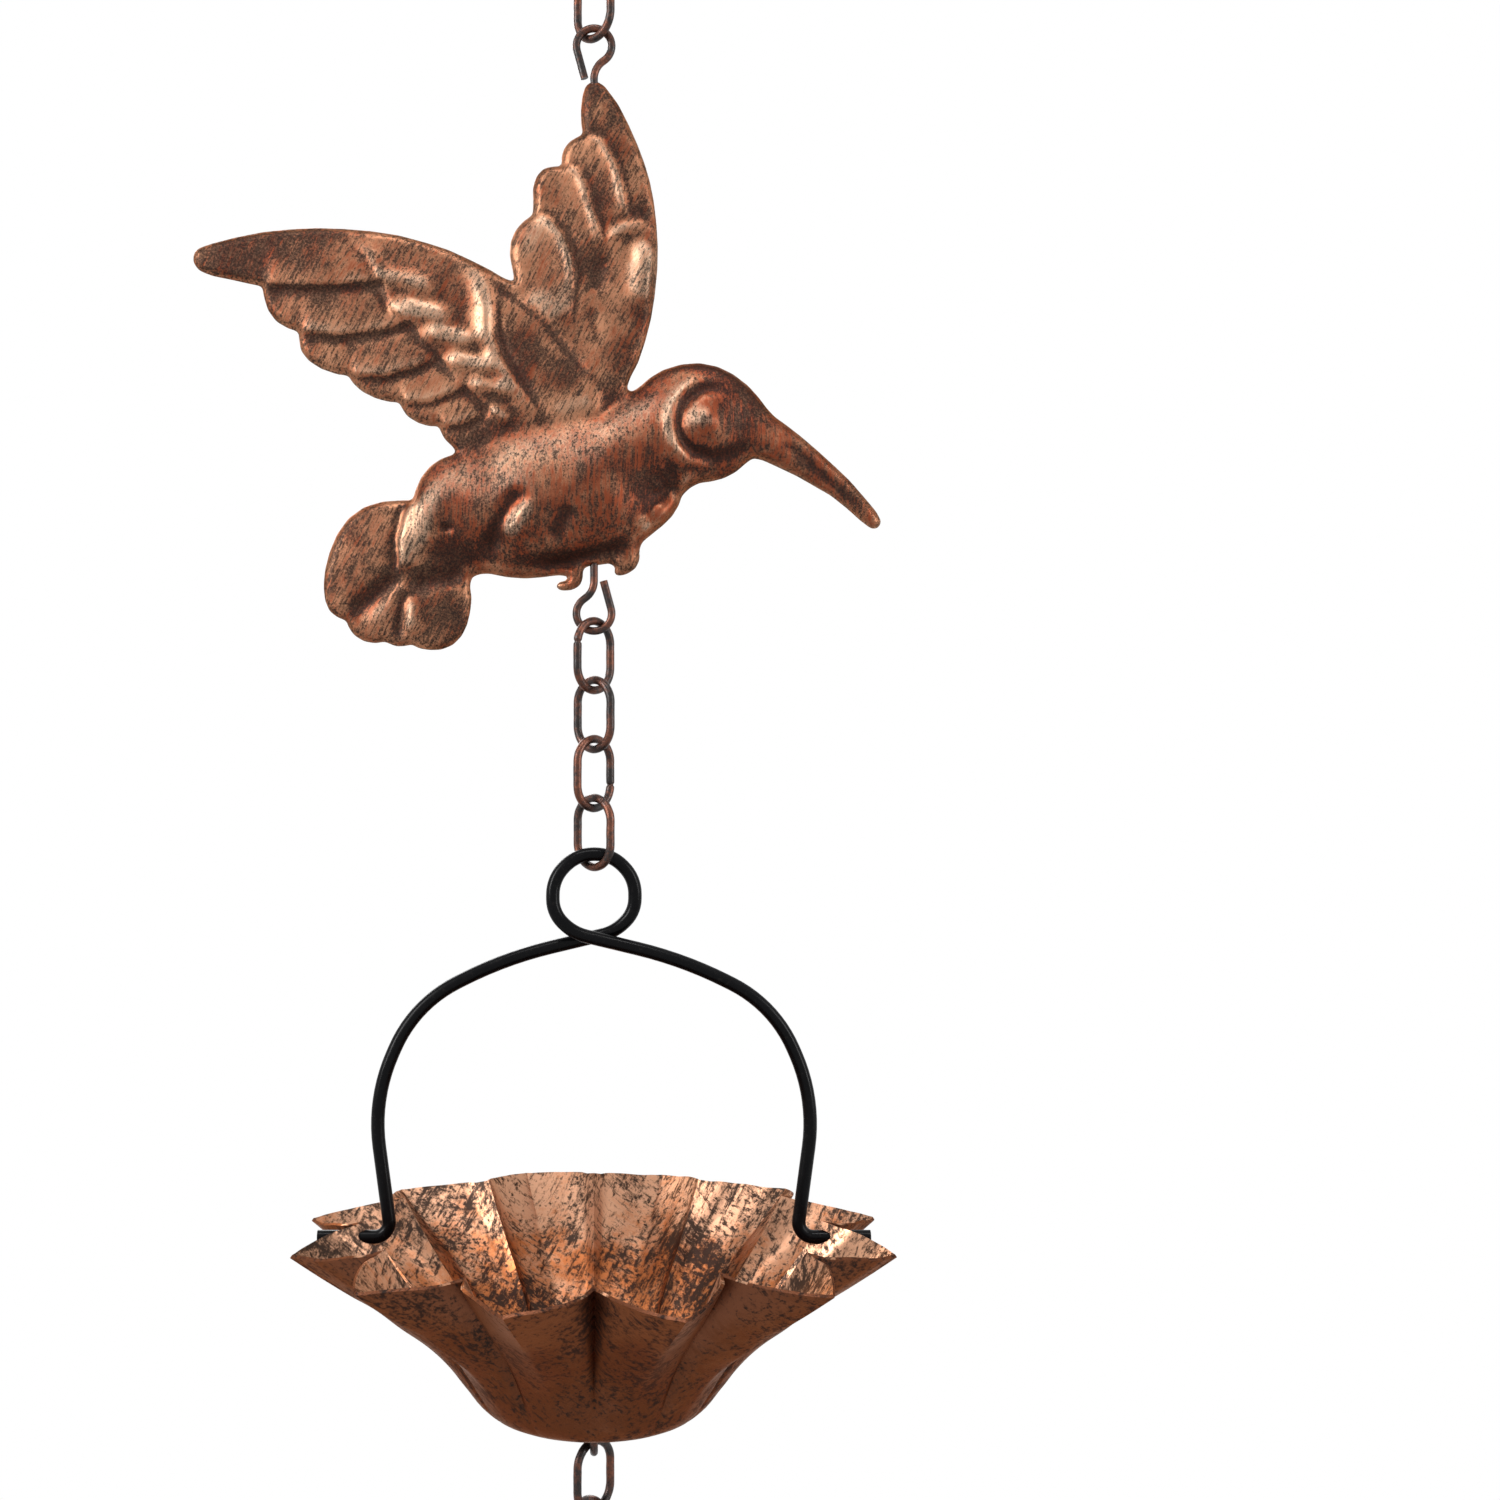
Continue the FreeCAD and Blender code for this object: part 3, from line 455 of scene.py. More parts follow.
def sheet_mesh(name, fields, facing):
    """One pressed sheet of the bird as a closed hollow shell; facing is -1 in front and 1 behind."""
    x, z, inside, relief, hollow, wing = fields
    corners, faces = outlined_grid(inside)
    first = np.array([corner[0] for corner in corners])
    second = np.array([corner[1] for corner in corners])
    share = np.array([corner[2] for corner in corners])

    def sampled(field):
        return field[first[:, 0], first[:, 1]] * (1 - share) + field[second[:, 0], second[:, 1]] * share

    on_rim = share > 0
    depth = np.where(on_rim, 0.0, np.maximum(sampled(inside), 0.0))
    curl = np.sqrt(np.clip(1.0 - (1.0 - np.clip(depth / SHEET_RIM, 0.0, 1.0)) ** 2, 0.0, 1.0))
    height = np.where(on_rim, 0.0, SHEET_RIM * curl + sampled(relief))
    px, pz = sampled(x), sampled(z)
    outer = np.stack([px, facing * height, pz + BELLY_HEIGHT], axis=1)
    inner = outer.copy()
    inner[:, 1] = facing * np.maximum(height - SHEET_WALL, 0.0)
    inner_index = np.where(on_rim, np.arange(len(corners)), len(corners) + np.cumsum(~on_rim) - 1)
    points = np.concatenate([outer, inner[~on_rim]]) * MM
    outer_faces = [face if facing < 0 else face[::-1] for face in faces]
    inner_faces = [[int(inner_index[corner]) for corner in reversed(face)] for face in outer_faces]
    inner_faces = [face for face, above in zip(inner_faces, outer_faces) if set(face) != set(above)]
    mesh = bpy.data.meshes.new(name)
    mesh.from_pydata(points.tolist(), [], outer_faces + inner_faces)
    mesh.update()
    mesh.shade_smooth()
    for label, field in (("hollow", hollow), ("wing", wing)):
        values = sampled(field)
        values = np.concatenate([values, values[~on_rim]])
        layer = mesh.attributes.new(label, "FLOAT", "POINT")
        layer.data.foreach_set("value", values.astype(np.float32))
    return mesh


def add_object(name, data):
    """A new object in the scene."""
    thing = bpy.data.objects.new(name, data)
    bpy.context.scene.collection.objects.link(thing)
    return thing


def place_piece(name, mesh, body, replaced):
    """Puts a finished mesh in the scene on its body, in place of the node that it stands for."""
    piece = add_object(name, mesh)
    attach(piece, body)
    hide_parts(replaced)


# Node trees.


def feed(tree, node, inputs):
    """Gives a node's inputs values, sockets or nodes, which stand for their first output.

    An input goes by its name, or by its place as an i and a number."""
    for key, value in inputs.items():
        socket = node.inputs[int(key[1:]) if key[1:].isdigit() else key]
        if isinstance(value, bpy.types.Node):
            value = value.outputs[0]
        if isinstance(value, bpy.types.NodeSocket):
            tree.links.new(value, socket)
        else:
            socket.default_value = value


def new_node(tree, kind, settings=None, **inputs):
    """Adds a node; settings are its properties, and inputs are as for feed."""
    node = tree.nodes.new(kind)
    for key, value in (settings or {}).items():
        setattr(node, key, value)
    feed(tree, node, inputs)
    return node


def maths(tree, operation, first, second=0.0, third=0.0):
    """The output of a math node."""
    settings = {"operation": operation}
    return new_node(tree, "ShaderNodeMath", settings, i0=first, i1=second, i2=third).outputs[0]


def times(tree, first, second):
    """The product of two numbers."""
    return maths(tree, "MULTIPLY", first, second)


def mixed(tree, share, first, second):
    """A colour between two, by a share."""
    return new_node(tree, "ShaderNodeMix", {"data_type": "RGBA"}, i0=share, i6=first, i7=second).outputs[2]


def between(tree, value, low, high, to_low=0.0, to_high=1.0):
    """A value taken from one range to another, clamped, with soft ends."""
    settings = {"interpolation_type": "SMOOTHSTEP"}
    return new_node(tree, "ShaderNodeMapRange", settings, i0=value, i1=low, i2=high, i3=to_low,
                    i4=to_high).outputs["Result"]


def weighted(tree, terms, start=0.0):
    """The sum of values, each times its weight."""
    for value, weight in terms:
        start = maths(tree, "MULTIPLY_ADD", value, weight, start)
    return start


def blended(tree, first, second, share):
    """A number between two, by a share."""
    return maths(tree, "MULTIPLY_ADD", maths(tree, "SUBTRACT", second, first), share, first)


def bell_curve(tree, value, width):
    """A bell curve of a value, 1 where it is 0."""
    share = maths(tree, "DIVIDE", value, width)
    return maths(tree, "EXPONENT", times(tree, times(tree, share, share), -1.0))


def own_place(tree):
    """The place on an object, in its own frame."""
    return tree.nodes.new("ShaderNodeTexCoord").outputs["Object"]


def grain(tree, scale, detail, roughness, turn=(0, 0, 0), stretch=(1, 1, 1)):
    """Noise about a turned and stretched frame; the scale is in features for each metre."""
    mapping = new_node(tree, "ShaderNodeMapping", {"vector_type": "TEXTURE"}, Vector=own_place(tree),
                       Rotation=turn, Scale=stretch)
    noise = new_node(tree, "ShaderNodeTexNoise", Vector=mapping, Scale=scale,
                     Detail=detail, Roughness=roughness)
    return noise.outputs["Fac"]


def new_material(name):
    """A material with its tree and its surface shader."""
    material = bpy.data.materials.new(name)
    material.use_nodes = True
    tree = material.node_tree
    tree.nodes.clear()
    shader = tree.nodes.new("ShaderNodeBsdfPrincipled")
    output = tree.nodes.new("ShaderNodeOutputMaterial")
    tree.links.new(shader.outputs[0], output.inputs[0])
    return material, tree, shader


def bump(tree, height, strength):
    """The surface's direction with a fine relief from a height."""
    return new_node(tree, "ShaderNodeBump", Strength=strength, Distance=BUMP_DEPTH, Height=height).outputs[0]


RED_COPPER = (0.19, 0.046, 0.021, 1)
TAN_COPPER = (0.38, 0.18, 0.1, 1)
# Pale copper of rubbed ridges, which on the bird also serves as a painted highlight.
BARE_AND_HIGHLIGHT_COPPER = (0.52, 0.36, 0.25, 1)
# Black of the soot, which on the bird also serves as painted shade.
SOOT_AND_SHADE_BLACK = (0.016, 0.013, 0.012, 1)
EDGE_COPPER = (0.7, 0.45, 0.35, 1)
CUP_OUTSIDE = {"light": (0.135, 0.05, 0.026, 1), "dark": (0.09, 0.03, 0.014, 1), "soot_level": 1.07}
CUP_INSIDE = {"light": (0.52, 0.28, 0.172, 1), "dark": (0.38, 0.122, 0.042, 1), "soot_level": 1.0}
WIRE_BROWN = (0.016, 0.012, 0.011, 1)
WIRE_COPPER = (0.15, 0.058, 0.036, 1)
LACQUER_BLACK = (0.002, 0.002, 0.0025, 1)
LACQUER_FLECK = (0.007, 0.006, 0.006, 1)
COPPER_METALNESS = 0.85
COPPER_ROUGHNESS = 0.36
SOOT_ROUGHNESS = 0.5
COPPER_SPECULAR = 0.2
LACQUER_SPECULAR = 0.08
BUMP_DEPTH = 0.0001
DARKENING_START = 0.04
SOOT_SOFTNESS = 0.22
BODY_STREAK_LEAN = math.radians(2)
WING_STREAK_LEAN = math.radians(28)
STROKE_TURNS = ((0.5, 0.9, 0.3), (0.4, -0.8, 0.9))
# The depths below the rim between which the cup's painted light and shade change, paler at the rim and
# darker towards the floor, as shares of its height.
PAINTED_SHADE_DEPTHS = (0.55, 0.1)


def soot_and_shade_over_copper(tree, shader, copper, black, height, strength):
    """The end of both copper finishes: soot over copper, on the bird partly painted shade, satin, with a
    fine relief.
    """
    feed(tree, shader, {
        "Base Color": mixed(tree, black, copper, SOOT_AND_SHADE_BLACK), "Metallic": COPPER_METALNESS,
        "Roughness": between(tree, black, 0, 1, COPPER_ROUGHNESS, SOOT_ROUGHNESS),
        "Specular IOR Level": COPPER_SPECULAR, "Specular Tint": EDGE_COPPER,
        "Normal": bump(tree, height, strength)})


def antiqued_copper():
    """The bird's finish: copper brushed over black, sooty in the hollows partly as painted shade and bare on
    the ridges, with painted shade on slopes facing down and painted highlights on slopes facing up and left
    and at listed spots.
    """
    material, tree, shader = new_material("antiqued_copper")
    wing, hollow = (new_node(tree, "ShaderNodeAttribute", {"attribute_name": label}).outputs["Fac"]
                    for label in ("wing", "hollow"))
    body_streak = grain(tree, scale=1700, detail=4, roughness=0.7, turn=(0, BODY_STREAK_LEAN, 0),
                        stretch=(1, 1, 16))
    wing_streak = grain(tree, scale=2000, detail=4, roughness=0.7, turn=(0, WING_STREAK_LEAN, 0),
                        stretch=(1, 1, 8))
    streak = maths(tree, "ADD", times(tree, wing_streak, wing),
                   times(tree, body_streak, maths(tree, "SUBTRACT", 1.0, wing)))
    speck = grain(tree, scale=2300, detail=5, roughness=0.85)
    cloud = grain(tree, scale=120, detail=4, roughness=0.65)
    blush = grain(tree, scale=170, detail=4, roughness=0.6)
    tan_share = weighted(tree, [(blush, 0.9), (streak, 1.3), (wing, 0.2), (hollow, 0.2)])
    copper = mixed(tree, between(tree, tan_share, 0.95, 1.45), RED_COPPER, TAN_COPPER)
    # Paler bare copper where the ridges are rubbed, and as a painted highlight where the hollow field holds
    # painted light.
    brushed = between(tree, streak, 0.35, 0.6, 0.2, 0.85)
    lightening = times(tree, between(tree, hollow, 0.12, 0.6), brushed)
    copper = mixed(tree, lightening, copper, BARE_AND_HIGHLIGHT_COPPER)
    # The black: soot, and painted shade where the hollow field holds it.
    raised = between(tree, hollow, -0.55, 0.05)
    darkening = weighted(tree, [(streak, 1.25), (speck, 0.7), (cloud, 0.5), (raised, -0.34)], DARKENING_START)
    broken = between(tree, speck, 0.4, 0.56, 0.7, 0.96)
    black = times(tree, between(tree, darkening, 0.8, 1.08), broken)
    soot_and_shade_over_copper(tree, shader, copper, black, maths(tree, "ADD", streak, speck), strength=0.6)
    return material


def cup_copper(name, light, dark, soot_level):
    """The cup's finish: copper wiped over black in short strokes, with loose sooty patches, and painted
    shade that darkens it towards the floor.
    """
    material, tree, shader = new_material(name)
    stroke, cross_stroke = (grain(tree, scale=900, detail=4, roughness=0.65, turn=turn, stretch=(6, 1, 1))
                            for turn in STROKE_TURNS)
    strokes = maths(tree, "MAXIMUM", stroke, cross_stroke)
    speck = grain(tree, scale=1300, detail=4, roughness=0.8)
    patch = grain(tree, scale=55, detail=3, roughness=0.6)
    blush = grain(tree, scale=90, detail=3, roughness=0.6)
    height = new_node(tree, "ShaderNodeSeparateXYZ", i0=own_place(tree)).outputs["Z"]
    rim = CUP_FLOOR_HEIGHT + CUP_HEIGHT
    low, high = ((rim - share * CUP_HEIGHT) * MM for share in PAINTED_SHADE_DEPTHS)
    # Painted light and shade: paler towards the rim, darker deeper down towards the floor.
    painted_light_by_height = between(tree, height, low, high, -0.12, 0.16)
    tint = weighted(tree, [(blush, 0.8), (stroke, 0.5), (painted_light_by_height, 1.0)])
    copper = mixed(tree, between(tree, tint, 0.5, 0.82), dark, light)
    darkening = weighted(tree, [(speck, 0.5), (strokes, 1.1), (patch, 0.55)])
    black = between(tree, darkening, soot_level, soot_level + SOOT_SOFTNESS, 0.0, 0.95)
    soot_and_shade_over_copper(tree, shader, copper, black, maths(tree, "ADD", strokes, speck), strength=0.45)
    return material


def dark_copper_wire():
    """The links' finish: browned copper, rubbed and patchy."""
    material, tree, shader = new_material("dark_copper_wire")
    speck = grain(tree, scale=1400, detail=3, roughness=0.7)
    patch = grain(tree, scale=210, detail=3, roughness=0.6)
    lightening = between(tree, weighted(tree, [(speck, 0.5), (patch, 0.8)]), 0.54, 0.86)
    feed(tree, shader, {
        "Base Color": mixed(tree, lightening, WIRE_BROWN, WIRE_COPPER),
        "Metallic": between(tree, lightening, 0, 1, 0.5, 0.9),
        "Roughness": between(tree, speck, 0.3, 0.7, 0.3, 0.5), "Normal": bump(tree, speck, strength=0.4)})
    return material


def black_wire():
    """The bail's gloss black lacquer, with a faint unevenness."""
    material, tree, shader = new_material("black_wire")
    wave = grain(tree, scale=180, detail=2, roughness=0.5)
    fleck = between(tree, grain(tree, scale=1600, detail=2, roughness=0.6), 0.55, 0.75)
    feed(tree, shader, {
        "Base Color": mixed(tree, fleck, LACQUER_BLACK, LACQUER_FLECK),
        "Roughness": between(tree, wave, 0.3, 0.7, 0.2, 0.34),
        "Specular IOR Level": LACQUER_SPECULAR, "Normal": bump(tree, wave, strength=0.3)})
    return material


# Geometry Nodes trees for the links and the cup.


def shape_tree(name, values):
    """A geometry tree with an input for each named value; returns it with its inputs and output."""
    tree = bpy.data.node_groups.new(name, "GeometryNodeTree")
    tree.interface.new_socket("Geometry", in_out="OUTPUT", socket_type="NodeSocketGeometry")
    for label in values:
        kind = "NodeSocketMaterial" if label == "Material" else "NodeSocketFloat"
        tree.interface.new_socket(label, in_out="INPUT", socket_type=kind)
    given = tree.nodes.new("NodeGroupInput").outputs
    output = tree.nodes.new("NodeGroupOutput")
    return tree, given, output.inputs[0]


def grown_mesh(name, tree, values, finish=None):
    """The plain mesh that a geometry tree makes from named values; finish may add modifiers after it."""
    holder = add_object(name + "_maker", bpy.data.meshes.new(name + "_seed"))
    modifier = holder.modifiers.new("shape", "NODES")
    modifier.node_group = tree
    for item in tree.interface.items_tree:
        if item.in_out == "INPUT":
            modifier[item.identifier] = values[item.name]
    if finish:
        finish(holder)
    evaluated = holder.evaluated_get(bpy.context.evaluated_depsgraph_get())
    mesh = bpy.data.meshes.new_from_object(evaluated)
    mesh.name = name
    bpy.data.objects.remove(holder)
    return mesh


def finished(tree, geometry, material, output):
    """Ends a tree: the mesh smooth, instances made real and the material set."""
    smooth = new_node(tree, "GeometryNodeSetShadeSmooth", i0=geometry)
    real = new_node(tree, "GeometryNodeRealizeInstances", Geometry=smooth)
    finish = new_node(tree, "GeometryNodeSetMaterial", Geometry=real, Material=material)
    tree.links.new(finish.outputs[0], output)


def link_tree(values):
    """An oval link bent from wire: straight legs, round ends and a pinched butt joint on one leg."""
    tree, given, output = shape_tree("bent_link", values)
    oval = new_node(tree, "GeometryNodeCurvePrimitiveQuadrilateral", Width=given["Width"],
                    Height=given["Length"])
    rounding = new_node(tree, "GeometryNodeFilletCurve", {"mode": "POLY"}, Curve=oval, Count=24,
                        Radius=times(tree, given["Width"], 0.5), **{"Limit Radius": True})
    even = new_node(tree, "GeometryNodeResampleCurve", Curve=rounding, Count=180)
    place = tree.nodes.new("GeometryNodeSplineParameter").outputs["Factor"]
    pinch = bell_curve(tree, maths(tree, "SUBTRACT", place, given["Seam Place"]), given["Seam Width"])
    thickness = maths(tree, "SUBTRACT", 1.0, times(tree, pinch, given["Seam Depth"]))
    profile = new_node(tree, "GeometryNodeCurvePrimitiveCircle", Resolution=20,
                       Radius=times(tree, given["Wire"], 0.5))
    tube = new_node(tree, "GeometryNodeCurveToMesh", Curve=even, Scale=thickness,
                    **{"Profile Curve": profile})
    dent = new_node(tree, "ShaderNodeTexNoise", Scale=420.0, Detail=1.0)
    level = maths(tree, "SUBTRACT", dent.outputs["Fac"], 0.5)
    normal = tree.nodes.new("GeometryNodeInputNormal").outputs[0]
    push = new_node(tree, "ShaderNodeVectorMath", {"operation": "SCALE"}, i0=normal,
                    Scale=times(tree, level, given["Unevenness"]))
    hammered = new_node(tree, "GeometryNodeSetPosition", Geometry=tube, Offset=push)
    finished(tree, hammered, given["Material"], output)
    return tree


LINK_WIRE = 1.6
LINK_LENGTH = 13.15
LINK_WIDTH = 8.8
LINK_TURN = 45
LINK_UNEVENNESS = 0.12
SEAM_WIDTH = 0.006
SEAM_DEPTH = 0.3
# Rows of (node, body, name, side it is turned to, joint at its lower end, place of its seam).
LINKS = [
    ("top_link", "upper_link", "top_link", -1, "bird_swing", 0.13),
    ("chain_link_1", "link_1", "link_one", 1, "link_2_swing", 0.37),
    ("chain_link_2", "link_2", "link_two", -1, "link_3_swing", 0.62),
    ("chain_link_3", "link_3", "link_three", 1, "link_4_swing", 0.88),
    ("chain_link_4", "link_4", "link_four", -1, "bail_swing", 0.12),
    ("tail_link_1", "tail_1", "tail_link_one", 1, "tail_2_swing", 0.63),
    ("tail_link_2", "tail_2", "tail_link_two", -1, None, 0.38),
]


def chain_links(material):
    """Every oval link of the chain, each on its own body."""
    values = {"Length": LINK_LENGTH * MM, "Width": LINK_WIDTH * MM, "Wire": LINK_WIRE * MM,
              "Seam Place": 0.0, "Seam Width": SEAM_WIDTH, "Seam Depth": SEAM_DEPTH,
              "Unevenness": LINK_UNEVENNESS * MM, "Material": material}
    tree = link_tree(values)
    lowest = {node: joint_height[joint] for node, _, _, _, joint, _ in LINKS if joint}
    pitch = lowest["chain_link_1"] - lowest["chain_link_2"]
    lowest["tail_link_2"] = lowest["tail_link_1"] - pitch
    upright = Matrix.Rotation(math.radians(90), 4, "X")
    for node, body, name, side, _, seam in LINKS:
        mesh = grown_mesh(name, tree, {**values, "Seam Place": seam})
        turn = Matrix.Rotation(math.radians(side * LINK_TURN), 4, "Z")
        centre = Matrix.Translation((0, 0, (lowest[node] + LINK_LENGTH / 2) * MM))
        mesh.transform(centre @ turn @ upright)
        place_piece(name, mesh, body, node)


# The cup's wall as rows of (height share, tip share, valley share), from the floor to the rim.
PETAL_CURVE = [
    (0.0, -0.046, -0.064), (0.015, -0.005, -0.007), (0.057, 0.059, 0.071), (0.2, 0.162, 0.2),
    (0.326, 0.244, 0.292), (0.441, 0.341, 0.384), (0.562, 0.477, 0.498), (0.683, 0.605, 0.626),
    (0.776, 0.73, 0.719), (1.0, 1.0, 0.925),
]
PETAL_COUNT = 12
CUP_HEIGHT = 35.4
CUP_TIP_HEIGHT = 33.1
CUP_TIP_RADIUS = 57.4
CUP_VALLEY_RADIUS = 46.5
CUP_FLOOR_RADIUS = 18.4
CUP_WALL = 0.6
STEM_HOLE_RADIUS = 1.0
PIVOT_DEPTH = 2.1
PIVOT_HOLE_RADIUS = 1.5
DRAIN_COUNT = 4
DRAIN_RADIUS = 2.2
DRAIN_CIRCLE_RADIUS = 10.0
CUP_FLOOR_HEIGHT = joint_height["cup_tilt"] + PIVOT_DEPTH - CUP_HEIGHT
FLOOR_SHARE = 0.16
RIM_LEAN = 0.3
FOLD_ROUNDNESS = 0.22
PLEAT_WIDTH = 0.11
PLEAT_HEIGHT = 1.9
RIM_WAVE = 4.0
RIM_WAVE_SEED = 4.0
RIM_WAVE_DROP = 0.8
SHARP_ANGLE = math.radians(40)
POINTS_ROUND_PETAL = 24
POINTS_UP_WALL = 72
PIVOT_PUNCH_LENGTH = 12.0
DRAIN_PUNCH_LENGTH = 6.0
PUNCH_SIDES = 32


def curve_node(tree, value, points):
    """A smooth curve through points, read at a value."""
    node = new_node(tree, "ShaderNodeFloatCurve", Value=value)
    curve = node.mapping.curves[0]
    for point in points[1:-1]:
        curve.points.new(*point)
    curve.points[0].location = points[0]
    curve.points[-1].location = points[-1]
    node.mapping.update()
    return node.outputs[0]


def cup_tree(values):
    """The pleated cup: a sheet wrapped round its axis whose radius swings between tips and valleys."""
    tree, given, output = shape_tree("pleated_cup", values)
    sheet = new_node(tree, "GeometryNodeMeshGrid", **{
        "Size X": 1.0, "Size Y": 1.0, "Vertices X": PETAL_COUNT * POINTS_ROUND_PETAL + 1,
        "Vertices Y": POINTS_UP_WALL})
    flat_spot = tree.nodes.new("GeometryNodeInputPosition").outputs[0]
    place = new_node(tree, "ShaderNodeSeparateXYZ", i0=flat_spot)
    round_share, along = (maths(tree, "ADD", place.outputs[way], 0.5) for way in (0, 1))
    turn = times(tree, round_share, 2 * math.pi)
    swing = times(tree, round_share, given["Petals"])
    sharp_fold = maths(tree, "PINGPONG", times(tree, swing, 2.0), 1.0)
    round_fold = maths(tree, "SINE", times(tree, sharp_fold, math.pi / 2))
    fold = blended(tree, sharp_fold, round_fold, given["Fold Roundness"])
    count = len(PETAL_CURVE) - 1
    steps = [FLOOR_SHARE + (1 - FLOOR_SHARE) * number / count for number in range(count + 1)]
    over_floor = maths(tree, "DIVIDE", maths(tree, "MINIMUM", along, FLOOR_SHARE), FLOOR_SHARE)

    def climb(column, low, high):
        """A column of the wall's curve as a share of the way from low to high."""
        rows = [(step, (row[column] - low) / (high - low)) for step, row in zip(steps, PETAL_CURVE)]
        return curve_node(tree, along, [(0, 0)] + rows)

    def ring_radius(column, top_share, radius):
        """A radius that grows from the stem hole over the floor and then up the wall."""
        lowest = PETAL_CURVE[0][column]
        reach = maths(tree, "SUBTRACT", radius, given["Floor Radius"])
        floor = maths(tree, "MULTIPLY_ADD", reach, lowest, given["Floor Radius"])
        reach = maths(tree, "SUBTRACT", radius, floor)
        wall = times(tree, reach, climb(column, lowest, top_share))
        return maths(tree, "ADD", blended(tree, given["Hole Radius"], floor, over_floor), wall)

    height_share = climb(0, 0, 1)
    tip = ring_radius(1, 1, given["Tip Radius"])
    valley = ring_radius(2, PETAL_CURVE[-1][2], given["Valley Radius"])
    radius = blended(tree, valley, tip, fold)
    rim_height = blended(tree, given["Valley Height"], given["Tip Height"], fold)
    height = times(tree, rim_height, height_share)
    circle = new_node(tree, "ShaderNodeCombineXYZ", i0=maths(tree, "COSINE", turn),
                      i1=maths(tree, "SINE", turn))
    ripple = new_node(tree, "ShaderNodeTexNoise", {"noise_dimensions": "4D"}, Vector=circle,
                      W=given["Seed"], Scale=3.2, Detail=3.0, Roughness=0.65)
    sway = times(tree, maths(tree, "SUBTRACT", ripple.outputs["Fac"], 0.5), given["Wave"])
    sway = times(tree, sway, maths(tree, "POWER", height_share, 2.0))
    crease = bell_curve(tree, fold, given["Pleat Width"])
    pleat = times(tree, times(tree, crease, given["Pleat Height"]), height_share)
    radius = maths(tree, "ADD", maths(tree, "SUBTRACT", radius, pleat), sway)
    height = maths(tree, "MULTIPLY_ADD", sway, -RIM_WAVE_DROP, height)
    angle = maths(tree, "SUBTRACT", turn, math.pi / 2)
    across, deep = (times(tree, radius, maths(tree, way, angle)) for way in ("COSINE", "SINE"))
    spot = new_node(tree, "ShaderNodeCombineXYZ", i0=across, i1=deep, i2=height)
    wrapped = new_node(tree, "GeometryNodeSetPosition", Geometry=sheet, Position=spot)
    closed = new_node(tree, "GeometryNodeMergeByDistance", Geometry=wrapped, Distance=0.01 * MM)
    finished(tree, closed, given["Material"], output)
    return tree


def ring(radius, sides):
    """The corners of a level polygon, as (x, y)."""
    turns = [2 * math.pi * number / sides for number in range(sides)]
    return [(radius * math.cos(turn), radius * math.sin(turn)) for turn in turns]


def hole_cutter():
    """The rods that punch the two pivot holes and the drain holes, as one object."""
    spots = []
    for side in (-1, 1):
        lying = Matrix.Rotation(math.radians(90), 4, "Y")
        centre = Vector((side * CUP_VALLEY_RADIUS, 0, CUP_HEIGHT - PIVOT_DEPTH))
        spots.append((PIVOT_HOLE_RADIUS, PIVOT_PUNCH_LENGTH, centre, lying))
    for number in range(DRAIN_COUNT):
        angle = 2 * math.pi * (number + 0.5) / DRAIN_COUNT
        centre = Vector((math.cos(angle), math.sin(angle), 0)) * DRAIN_CIRCLE_RADIUS
        spots.append((DRAIN_RADIUS, DRAIN_PUNCH_LENGTH, centre, Matrix.Identity(4)))
    points, faces = [], []
    for radius, length, centre, turn in spots:
        start = len(points)
        for end in (-0.5, 0.5):
            for x, y in ring(radius, PUNCH_SIDES):
                points.append((centre + turn @ Vector((x, y, end * length))) * MM)
        low = [start + number for number in range(PUNCH_SIDES)]
        high = [start + PUNCH_SIDES + number for number in range(PUNCH_SIDES)]
        faces += [low[::-1], high]
        faces += [(low[number - 1], low[number], high[number], high[number - 1])
                  for number in range(PUNCH_SIDES)]
    mesh = bpy.data.meshes.new("cup_punch")
    mesh.from_pydata(points, [], faces)
    return add_object("cup_punch", mesh)


def flower_cup(outside, inside):
    """The cup with its wall, holes and two finishes."""
    cutter = hole_cutter()

    def finish(holder):
        wall = holder.modifiers.new("wall", "SOLIDIFY")
        wall.thickness = CUP_WALL * MM
        wall.offset = -1
        wall.use_even_offset = True
        punch = holder.modifiers.new("punch", "BOOLEAN")
        punch.operation = "DIFFERENCE"
        punch.solver = "EXACT"
        punch.object = cutter

    values = {"Petals": float(PETAL_COUNT), "Tip Radius": CUP_TIP_RADIUS * MM,
              "Valley Radius": CUP_VALLEY_RADIUS * MM, "Floor Radius": CUP_FLOOR_RADIUS * MM,
              "Hole Radius": STEM_HOLE_RADIUS * MM, "Tip Height": CUP_TIP_HEIGHT * MM,
              "Valley Height": CUP_HEIGHT * MM, "Fold Roundness": FOLD_ROUNDNESS, "Wave": RIM_WAVE * MM,
              "Pleat Width": PLEAT_WIDTH, "Pleat Height": PLEAT_HEIGHT * MM, "Seed": RIM_WAVE_SEED,
              "Material": outside}
    mesh = grown_mesh("flower_cup_shell", cup_tree(values), values, finish)
    bpy.data.objects.remove(cutter)
    mesh.transform(Matrix.Translation((0, 0, CUP_FLOOR_HEIGHT * MM)))
    mesh.set_sharp_from_angle(angle=SHARP_ANGLE)
    mesh.materials.clear()
    mesh.materials.append(outside)
    mesh.materials.append(inside)
    for face in mesh.polygons:
        outward = Vector((face.center.x, face.center.y, 0)).normalized()
        lean = face.normal.dot(outward)
        face.material_index = 1 if face.normal.z > lean and lean < RIM_LEAN else 0
    place_piece("flower_cup_shell", mesh, "cup", "flower_cup")


